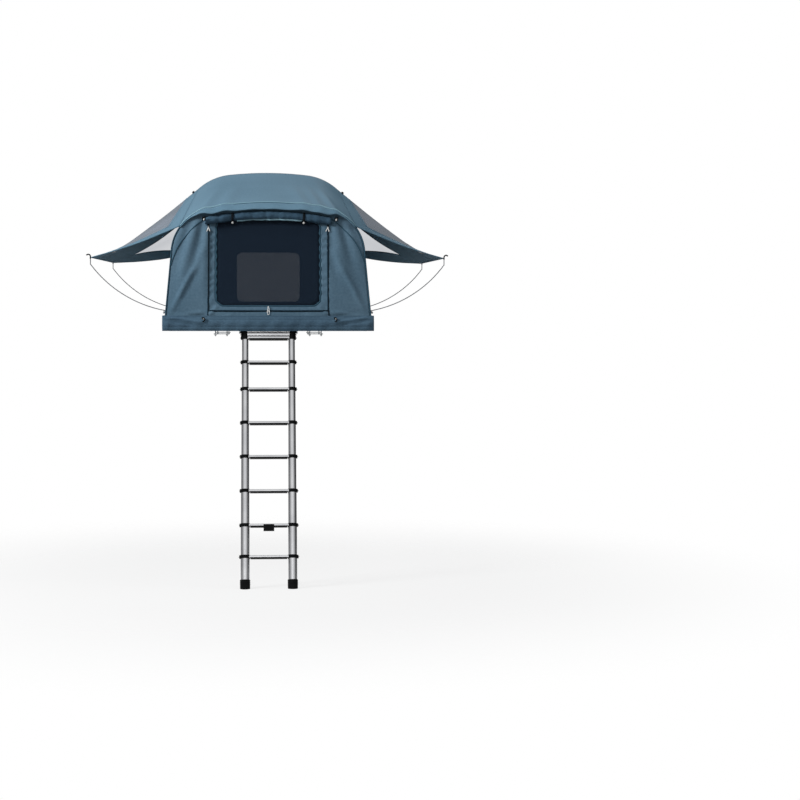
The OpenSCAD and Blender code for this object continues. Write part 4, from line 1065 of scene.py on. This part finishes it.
def roll_squeeze(x):
    return (
        1
        - 0.17 * np.exp(-(((np.abs(x) - STRAP_X) / 0.028) ** 2))
        - 0.22 * np.abs(x / ROLL_SPAN) ** 6
        + 0.035 * np.sin(x * 63 + 1.5 * np.sin(x * 17))
        + 0.02 * np.sin(x * 139 + 0.4)
    )


def door_roll():
    """The flap as a spiral of cloth, bunched by its toggles."""
    stations = np.linspace(-ROLL_HALF, ROLL_HALF, 92)
    turns = np.linspace(0, ROLL_TURNS * 2 * math.pi, 170)
    grow = ROLL_CORE + (ROLL_R - ROLL_CORE) * turns / turns[-1]
    rows, uv = [], []
    for x in stations:
        k = roll_squeeze(x)
        uneven = 1 + 0.03 * np.sin(3 * turns + x * 21) + 0.025 * np.sin(5 * turns - x * 34 + 1)
        angle = turns - ROLL_TURNS * 2 * math.pi - 0.55 * math.pi + 0.16 * math.sin(x * 9)
        out = k * grow * uneven * np.cos(angle) * 0.83
        up = k * grow * uneven * np.sin(angle)
        rows.append(round_roll(x, (1 - k) * 0.03, out, up))
        uv.append(np.stack([np.full_like(turns, x), np.cumsum(grow) * 0.18], axis=1))
    faces = grid_faces(len(stations), len(turns))
    # the roll's darker canvas is painted shade from the hem of the fly
    piece = make("door_flap_roll", np.array(rows), faces, shaded_flap_canvas, np.array(uv))
    return thicken(piece, FLAP_T, 0), np.array(rows)


roll, roll_rows = door_roll()
dress(roll, "front_base", ["door_roll"], packs=True)
# the pale binding along the flap's hem is partly a paler tape, partly a painted highlight
hem_of_roll = tube("door_flap_hem", roll_rows[23:-21, -1], 0.006, highlight_binding, up=(0, -1, 0))
dress(hem_of_roll, "front_base", packs=True)

straps = []
for x in (-STRAP_X, STRAP_X):
    angle = np.linspace(0, 2 * math.pi, 40)
    loop = round_roll(x, 0.003, 0.90 * 0.030 * 0.86 * np.cos(angle), 0.90 * 0.031 * np.sin(angle))
    outward = loop - loop.mean(0)
    outward /= np.linalg.norm(outward, axis=1)[:, None]
    straps.append(strip("strap", loop, 0.016, 0.002, webbing, outward))
    bead_z = roll_middle(x)[0] - 0.038 + np.array([0.008, 0.004, 0, -0.005, -0.009])
    bead = spots_at(x, loop[:, 1].min() + 0.022, bead_z)
    bead_r = [0.003, 0.0065, 0.0075, 0.006, 0.002]
    straps.append(tube("toggle", bead, bead_r, white_nylon, sides=12, up=(1, 0, 0)))
toggles = merged("door_flap_toggles", straps)
dress(toggles, "front_base", packs=True)


# Zips beside and under the door

down_zip = np.linspace(up_wall(ZIP_TOP), up_wall(ZIP_FOOT), 60)
sill_zip = np.linspace(-SILL_HALF, SILL_HALF, 60)
zip_paths = [on_front(np.full(60, x), down_zip, 0.003) for x in (-ZIP_X, ZIP_X)]
zip_paths.append(on_front(sill_zip, np.full(60, up_wall(SILL_Z)), 0.003))
facing = wall_normal(FRONT)
tapes = [strip("tape", line - 0.0012 * facing, 0.016, 0.0014, zip_tape, facing) for line in zip_paths]
tape = merged("door_zip_tape", tapes)
dress(tape, "front_base", packs=True)
lines = [line + 0.0004 * facing for line in zip_paths]
teeth = repeated("door_zip_teeth", TEETH, lines, [facing] * 3, TOOTH_PITCH, TOOTH, black_nylon)
dress(teeth, "front_base", packs=True)


def zip_slider(name, x, z, pulls):
    """Slider with its bridge and white cord pulls (lean, length, width, top), on the outside of the zip."""
    u = up_wall(z)

    def spot(dx, du, out):
        return on_wall(FRONT, x + np.asarray(dx, float), u + np.asarray(du, float), np.asarray(out, float))

    body_line = spot([0, 0, 0, 0, 0], [0.009, 0.007, 0, -0.006, -0.009], [0.0082] * 5)
    body_r = [0.002, 0.0052, 0.0056, 0.0048, 0.002]
    arc = np.linspace(0, math.pi, 9)
    bridge = spot(np.zeros(9), 0.005 * np.cos(arc), 0.010 + 0.004 * np.sin(arc))
    parts = [
        tube("body", body_line, body_r, nickel, sides=12, squeeze=0.5, up=facing),
        tube("bridge", bridge, 0.0012, nickel, up=(1, 0, 0)),
    ]
    for lean, length, width, top in pulls:
        t = np.linspace(0, 2 * math.pi, 48)
        # a narrow loop that hangs from the bridge
        down = length * (1 - np.cos(t)) / 2
        wide = width * np.sin(t) * (0.35 + 0.65 * (1 - np.cos(t)) / 2)
        loop = spot(wide + lean * down, top - down, 0.0125 + 0 * t)[:-1]
        parts.append(tube("pull", loop, 0.0017, white_nylon, sides=6, closed=True, up=facing))
    return merged(name, parts)


for name, x, z, pulls in (
    ("left", -ZIP_X, ZIP_REST, [(-0.34, 0.030, 0.0018, -0.002), (0.34, 0.030, 0.0018, -0.002)]),
    ("right", ZIP_X, ZIP_REST, [(-0.5, 0.028, 0.0018, -0.002), (0.30, 0.030, 0.0018, -0.002)]),
    ("lower", 0.0, SILL_Z, [(0.0, 0.060, 0.009, 0.032)]),
):
    slider = zip_slider(f"{name}_zip_pull", x, z, pulls)
    dress(slider, f"{name}_zip_slider", [f"{name}_zip_slider"], packs=True)


# Skirt round the base

# Pulls at the corners of the skirt, as on the front wall
SKIRT_PULLS = (((0.42, 0.055), (0.66, 0.088), 0.008, 0.007), ((0.45, 0.035), (0.68, 0.066), 0.008, -0.004))


def skirt_sheet(side, hand):
    """One strip of the skirt: hand 0 is the end, -1 and 1 the sides. It bulges, and folds where slack."""
    span = np.linspace(-1, 1, 150) if hand == 0 else np.linspace(0, 1, 150)
    up = np.linspace(0, 1, 22)
    rows, uv = [], []
    for h in up:
        s = span * BASE_HALF if hand == 0 else span * HALF_LEN
        z = SKIRT_LOW + SKIRT_H * h
        bulge = 0.012 * (1 - (2 * h - 1) ** 2) - 0.0045
        fold = 0.0028 * (1 + np.sin(s * 23 + 1.2 * h + 0.7 * hand + side))
        fold = fold + 0.0016 * (1 + np.sin(s * 61 - 3 * h + 2 * hand))
        # a tuck along the hem, and a crease under the top edge
        tuck = 0.003 * np.exp(-(((h - 0.13) / 0.07) ** 2)) - 0.002 * np.exp(-(((h - 0.27) / 0.05) ** 2))
        top = 0.0015 * np.exp(-(((h - 0.82) / 0.05) ** 2)) - 0.0015 * np.exp(-(((h - 0.72) / 0.04) ** 2))
        out = 0.0006 + np.maximum(bulge + tuck + top, 0.0002) + fold * math.sin(math.pi * min(1, 0.15 + h))
        if hand == 0:
            for k in (LEFT, RIGHT):
                for pull in SKIRT_PULLS:
                    out = out + crease(k * s, np.full_like(s, h * 0.1), *pull)
            out = out * (1 - 0.5 * smooth(0.66, 0.70, np.abs(s)))
            row = place(side, s * (BASE_HALF + 0.006) / BASE_HALF, HALF_LEN + out, z)
        else:
            out = np.minimum(out, 0.002 + 0.05 * (HALF_LEN - s))
            row = place(side, hand * (BASE_HALF + out), np.maximum(s, 0.0003), z)
        rows.append(row)
        uv.append(np.stack([s, np.full_like(s, h * SKIRT_H)], axis=1))
    faces = turned(grid_faces(len(up), len(span)), (hand == 0 and side == REAR) or hand * side < 0)
    # the skirt's darker canvas is painted shade
    piece = make("skirt", np.array(rows), faces, shaded_skirt_canvas, np.array(uv))
    return thicken(piece, SKIRT_T, 1), np.array(rows)


for side in (FRONT, REAR):
    end = END_NAME[side]
    sheets = [skirt_sheet(side, hand) for hand in (0, LEFT, RIGHT)]
    hems = [
        tube("hem", rows[0][5:-5] + np.array([0, 0, 0.002]), 0.0036, shaded_skirt_canvas, squeeze=0.8, up=(0, 0, 1))
        for _, rows in sheets
    ]
    skirt = merged(f"{end}_skirt_cloth", [piece for piece, _ in sheets])
    dress(skirt, f"{end}_base", [f"{end}_skirt"])
    trim = merged(f"{end}_skirt_hem", hems)
    dress(trim, f"{end}_base")

# hooks that hold the canopy down over the skirt
SNAP_X, SNAP_Y, SNAP_Z = (-0.434, 0.446), -1.842, 0.092
hooks = []
for x in SNAP_X:
    angle = np.linspace(-0.6 * math.pi, 0.75 * math.pi, 16)
    hook = spots_at(x + 0.011 * np.cos(angle), SNAP_Y - 0.0075, SNAP_Z - 0.006 + 0.013 * np.sin(angle))
    hooks.append(tube("hook", hook, 0.0034, black_nylon, up=(0, 1, 0)))
    eye = spots_at(x, SNAP_Y - np.array([0, 0.005, 0.010, 0.012]), SNAP_Z)
    hooks.append(tube("button", eye, [0.007, 0.0075, 0.006, 0.002], black_nylon, sides=14))
    dot = spots_at(x + 0.004, SNAP_Y - np.array([0.011, 0.014, 0.0155]), SNAP_Z - 0.002)
    hooks.append(tube("dot", dot, [0.003, 0.003, 0.0012], white_nylon, sides=10))
hooks = merged("skirt_hooks", hooks)
dress(hooks, "front_base")


# Loops at the ends of the ridge, buckles at the corners of the fly, sleeves on the hooks of the rods

CORNERS = [(s, h, f"{END_NAME[s]}_{SIDE_NAME[h]}") for s in (FRONT, REAR) for h in (LEFT, RIGHT)]
for side, hand, name in CORNERS:
    base = awning_points(side, hand, np.array([0.014]), np.array([0.052]))[0]
    out = np.array([hand * 0.6, 0, 0.8])
    t = np.linspace(0, math.pi, 14)
    loop = base + np.outer(np.sin(t) * 0.012, out) + np.outer(np.cos(t) * 0.009, [0, 1, 0])
    above = np.cross(np.gradient(loop, axis=0), [0.8, 0, -hand * 0.6])
    tab = strip("loop", loop, 0.018, 0.0025, webbing, above)
    patch = base + np.outer(np.linspace(-0.012, 0.012, 5), [hand * 0.8, 0, -0.6]) + 0.0016 * out
    tab = merged(f"{name}_ridge_loop", [tab, strip("patch", patch, 0.022, 0.0022, webbing, out)])
    dress(tab, f"{name}_awning", packs=True, packed=dropped(side, hand))

BUCKLE_X, BUCKLE_Z, BUCKLE_OUT = (-0.431, 0.458), 0.748, 0.058
# Plates of a buckle: distance in front, height, length, width and finish
PLATES = ((0, -0.002, 0.026, 0.024, black_nylon), (0.004, -0.006, 0.012, 0.009, white_nylon))
clips = []
for x in BUCKLE_X:
    where = on_wall(FRONT, np.array([x]), np.array([up_wall(BUCKLE_Z)]), np.array([BUCKLE_OUT]))[0]
    for out, dz, high, wide, colour in PLATES:
        line = where + np.outer(np.linspace(-0.5, 0.5, 5), [0, 0, high]) + np.array([0, -out, dz])
        clips.append(strip("clip", line, wide, 0.006, colour, (0, -1, 0)))
clips = merged("door_flap_buckles", clips)
dress(clips, "front_base", packs=True)

HOOK_X, HOOK_R, HOOK_TOP = 1.2, 0.014, 0.509
for side, hand, name in CORNERS:
    angle = np.radians(np.linspace(178, 30, 18))
    x = np.concatenate([[HOOK_X, HOOK_X], HOOK_X + HOOK_R + HOOK_R * np.cos(angle)])
    z = np.concatenate([[HOOK_TOP - 0.016, HOOK_TOP - 0.006], HOOK_TOP + HOOK_R * np.sin(angle)])
    line = place(side, hand * x, np.full_like(x, AWNING_TIP), z)
    sleeve = tube(f"{name}_rod_sleeve", line, 0.0045, black_nylon, sides=10, up=(0, 1, 0))
    dress(sleeve, f"{name}_rod")


# Mattresses


def mattress(side):
    """Foam in a cover: crowned, tufted and drawn in at its edges."""
    far = wall_v(0.115) - 0.01
    near = 0.006
    across, along = 61, 61
    a, b = np.meshgrid(np.linspace(-1, 1, across), np.linspace(-1, 1, along), indexing="ij")
    bow = 1 - 0.012 * (1 - b**2)
    x = a * MATTRESS_X * bow
    v = (near + far) / 2 + b * (far - near) / 2 * (1 - 0.012 * (1 - a**2))
    round_off = np.minimum(1, 9 * (1 - np.abs(a))) * np.minimum(1, 9 * (1 - np.abs(b)))
    crown = 0.030 + 0.022 * np.sqrt(np.clip(round_off, 0, 1)) + 0.003 * (1 - a**2) * (1 - b**2)
    tuft = 0.0
    for i in (-0.5, 0, 0.5):
        for j in (-0.5, 0, 0.5):
            away = ((a - i) * MATTRESS_X / 0.05) ** 2 + ((b - j) * far / 2 / 0.05) ** 2
            tuft = tuft + 0.006 * np.exp(-away)
    top = place(side, x, v, BASE_TOP + crown - tuft)
    low = place(side, x, v, BASE_TOP + 0.0006 + 0.008 * (1 - np.sqrt(np.clip(round_off, 0, 1))))
    faces = grid_faces(across, along)
    n = across * along
    under = [tuple(n + k for k in reversed(f)) for f in faces]
    rim = (
        [(i, 0) for i in range(across)]
        + [(across - 1, j) for j in range(1, along)]
        + [(i, along - 1) for i in range(across - 2, -1, -1)]
        + [(0, j) for j in range(along - 2, 0, -1)]
    )
    rim = [i * along + j for i, j in rim]
    walls = []
    for k, p in enumerate(rim):
        q = rim[(k + 1) % len(rim)]
        walls.append((p, q, n + q, n + p))
    points = np.concatenate([top.reshape(-1, 3), low.reshape(-1, 3)])
    uv = np.tile(np.stack([x, v], axis=2).reshape(-1, 2), (2, 1))
    pad = make(f"{END_NAME[side]}_mattress_pad", points, faces + under + walls, ticking, uv)
    return mended(pad, 1e-5, outwards=True)


for side in (FRONT, REAR):
    end = END_NAME[side]
    pad = mattress(side)
    dress(pad, f"{end}_base", [f"{end}_mattress"])
    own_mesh(pad)


# Ladder: ribs on the rungs, black lips on them that paint the shade of their undersides, lock pins with pale
# ends, ribs round the feet

LEAN = math.radians(16)
DOWN = np.array([0, -math.sin(LEAN), -math.cos(LEAN)])
AHEAD = np.array([0, -math.cos(LEAN), math.sin(LEAN)])
PIVOT = np.array([0, -1.79, 0.005])
RUNGS = np.cumsum([0, 0.0226, 0.0226, 0.168, 0.184, 0.229, 0.229, 0.229, 0.229, 0.208])
LADDER_HALF, TUBE_D, TUBE_STEP = 0.155, 0.038, 0.0024
RUNG_TOP, RUNG_FRONT, RUNG_STRIP = 0.0085, 0.01812, 0.0062
COLLAR_WALL, PIN_OUT = 0.003, 0.005
# A rib of a rung's grip: the distance between ribs, and a rib's length, width and height
RIB_PITCH, RIB = 0.012, (0.0085, 0.0018, 0.0004)
FOOT_RIBS, FOOT_R, FOOT_END = (0.156, 0.168, 0.180), 0.0331, 0.208

for k, s in enumerate(RUNGS):
    body = f"ladder_{k + 1}"
    middle = PIVOT + s * DOWN
    tube_r = (TUBE_D + TUBE_STEP * k) / 2
    half = LADDER_HALF - tube_r - 0.006
    lines = []
    for depth in np.linspace(-0.013, 0.013, 7):
        start = middle + depth * AHEAD - RUNG_TOP * DOWN
        lines.append([start + np.array([x, 0, 0]) for x in np.linspace(-half, half, 12)])
    ribs = repeated(f"rung_{k + 1}_grip", TEETH, lines, [-DOWN] * 7, RIB_PITCH, RIB, ladder_metal)
    dress(ribs, body)
    # a rung that stands alone gets a thin black lip up its front, along the strip under it: painted shade of
    # the rung's underside, which widens the strip's dark band
    if k > 1:
        lip = middle + RUNG_FRONT * AHEAD + RUNG_STRIP * DOWN
        ends = np.array([[-half - 0.007, 0, 0], [0, 0, 0], [half + 0.007, 0, 0]])
        lip = strip(f"rung_{k + 1}_painted_shade_lip", lip + ends, 0.0046, 0.0002, black_nylon, AHEAD)
        dress(lip, body)
    if k:
        pins = []
        reach = LADDER_HALF + tube_r + COLLAR_WALL + PIN_OUT
        for hand in (LEFT, RIGHT):
            tip = middle + np.array([hand * (reach + 0.0014), 0, 0])
            line = tip + np.outer([0, 0.0022, 0.0034, 0.004], [hand, 0, 0])
            pins.append(tube("pin", line, [0.0044, 0.0042, 0.003, 0.0008], white_nylon, sides=14))
        pins = merged(f"rung_{k + 1}_lock_pins", pins)
        dress(pins, body)

treads = []
angle = np.linspace(0, 2 * math.pi, 40, endpoint=False)
round_foot = np.outer(np.cos(angle) * FOOT_R, [1, 0, 0]), np.outer(np.sin(angle) * FOOT_R, AHEAD)
for hand in (LEFT, RIGHT):
    for s in FOOT_RIBS:
        middle = PIVOT + (RUNGS[9] + s) * DOWN + np.array([hand * LADDER_HALF, 0, 0])
        ring = middle + round_foot[0] + round_foot[1]
        treads.append(tube("rib", ring, 0.0016, black_rubber, sides=6, closed=True, up=DOWN))
treads = merged("ladder_foot_ribs", treads)
dress(treads, "ladder_10")


# Stage, light and camera


def seen(tree):
    """Facts about a ray, and 1 where it comes from the camera, off a mirror or through clear film."""
    path = add(tree, "ShaderNodeLightPath").outputs
    shown = {0: path["Is Camera Ray"], 1: path["Is Glossy Ray"]}
    shown = add(tree, "ShaderNodeMath", shown, operation="MAXIMUM")
    shown = {0: shown, 1: path["Is Transmission Ray"]}
    return path, add(tree, "ShaderNodeMath", shown, operation="MAXIMUM")


GROUND = float(PIVOT[2] + (RUNGS[9] + FOOT_END) * DOWN[2])
floor_material, tree, surface = shader("studio_floor", Roughness=0.9)
where = add(tree, "ShaderNodeTexCoord").outputs["Object"]
mottle = add(tree, "ShaderNodeTexNoise", {"Vector": where, "Scale": 0.4})
mottle = add(tree, "ShaderNodeValToRGB", {"Fac": mottle}, [(0.3, "#c4c4c4"), (0.7, "#cacaca")])
tree.links.new(mottle.outputs[0], surface.inputs["Base Color"])
# seen directly, the floor is nearly white and keeps a faint shadow
share = add(tree, "ShaderNodeMath", {0: seen(tree)[1], 1: 0.8}, operation="MULTIPLY")
white = add(tree, "ShaderNodeEmission", {"Color": linear("#ffffff"), "Strength": 1.0})
pale = add(tree, "ShaderNodeMixShader", {0: share, 1: surface, 2: white})
# it fades into the white backdrop round the ladder
level = add(tree, "ShaderNodeVectorMath", {0: where, 1: (1, 1, 0)}, operation="MULTIPLY")
away = add(tree, "ShaderNodeVectorMath", {0: level, 1: (0, -1.9, 0)}, operation="DISTANCE").outputs["Value"]
fade = add(tree, "ShaderNodeMapRange", {0: away, 1: 1.2, 2: 4.0}, interpolation_type="SMOOTHSTEP")
# from below it doesn't hide the part
below = add(tree, "ShaderNodeNewGeometry").outputs["Backfacing"]
fade = add(tree, "ShaderNodeMath", {0: fade, 1: below}, operation="MAXIMUM")
clear = add(tree, "ShaderNodeBsdfTransparent")
mixed = add(tree, "ShaderNodeMixShader", {0: fade, 1: pale, 2: clear})
tree.links.new(mixed.outputs[0], tree.nodes["Material Output"].inputs["Surface"])
ground = [(-5, -6, GROUND), (5, -6, GROUND), (5, 3, GROUND), (-5, 3, GROUND)]
floor = make("floor", ground, [(0, 1, 2, 3)], floor_material, flat=True)
floor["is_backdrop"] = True

world = bpy.data.worlds.new("studio")
bpy.context.scene.world = world
world.use_nodes = True
tree = world.node_tree
tree.nodes.clear()
path, shown = seen(tree)
# the room is dimmer below than above
toward = add(tree, "ShaderNodeTexCoord").outputs["Generated"]
toward = add(tree, "ShaderNodeSeparateXYZ", {0: toward}).outputs
level = add(tree, "ShaderNodeMapRange", {0: toward["Z"], 1: -0.5, 2: 0.6, 3: 0.04, 4: 0.38})
ambient = add(tree, "ShaderNodeBackground", {"Color": linear("#f4f6fa"), "Strength": level})
# metal shows the white room in front, dimmer to the right and dark behind, which draws the tubes' edges
behind = add(tree, "ShaderNodeMapRange", {0: toward["Y"], 1: -0.85, 2: -0.2, 3: 0.0, 4: 0.72})
right = add(tree, "ShaderNodeMapRange", {0: toward["X"], 1: 0.1, 2: 0.8, 3: 0.0, 4: 0.2})
screen = add(tree, "ShaderNodeMath", {0: behind, 1: right}, operation="ADD")
mirror = {0: path["Is Glossy Ray"], 1: path["Is Transmission Ray"]}
mirror = add(tree, "ShaderNodeMath", mirror, operation="SUBTRACT", use_clamp=True)
screen = add(tree, "ShaderNodeMath", {0: screen, 1: mirror}, operation="MULTIPLY")
white = add(tree, "ShaderNodeMath", {0: 1.0, 1: screen}, operation="SUBTRACT")
backdrop = add(tree, "ShaderNodeBackground", {"Color": linear("#ffffff"), "Strength": white})
both = add(tree, "ShaderNodeMixShader", {0: shown, 1: ambient, 2: backdrop})
add(tree, "ShaderNodeOutputWorld", {"Surface": both})


def softbox(name, spot, target, size, power, mirrored=False):
    """A round lamp; metal shows it only where mirrored is set."""
    light = bpy.data.lights.new(name, "AREA")
    light.shape = "DISK"
    light.size = size
    light.energy = power
    lamp = bpy.data.objects.new(name, light)
    bpy.context.scene.collection.objects.link(lamp)
    lamp.location = spot
    lamp.rotation_mode = "QUATERNION"
    lamp.rotation_quaternion = (Vector(target) - Vector(spot)).to_track_quat("-Z", "Y")
    lamp.visible_glossy = mirrored


softbox("key", (-5.4, -3.9, 3.5), (0, -0.9, 0.3), 2.0, 500)
softbox("top", (4.2, -1.2, 6.0), (0, -0.6, 0.4), 4.0, 170)
softbox("ladder_fill", (-0.6, -9.0, -0.6), (0, -1.9, -0.9), 2.5, 60, mirrored=True)

camera = bpy.data.objects.new("camera", bpy.data.cameras.new("camera"))
bpy.context.scene.collection.objects.link(camera)
camera.data.lens = 87.30
camera.data.sensor_width = 36.0
camera.data.clip_end = 200
YAW, PITCH, ROLL = math.radians(3.880), math.radians(2.997), math.radians(0.078)
camera.location = (0, -14.83, 0.228)
camera.rotation_mode = "QUATERNION"
sight = Vector((math.sin(YAW) * math.cos(PITCH), math.cos(YAW) * math.cos(PITCH), -math.sin(PITCH)))
camera.rotation_quaternion = sight.to_track_quat("-Z", "Y") @ Matrix.Rotation(ROLL, 3, "Z").to_quaternion()
bpy.context.scene.camera = camera
bpy.context.scene.view_settings.view_transform = "Standard"

low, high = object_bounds()
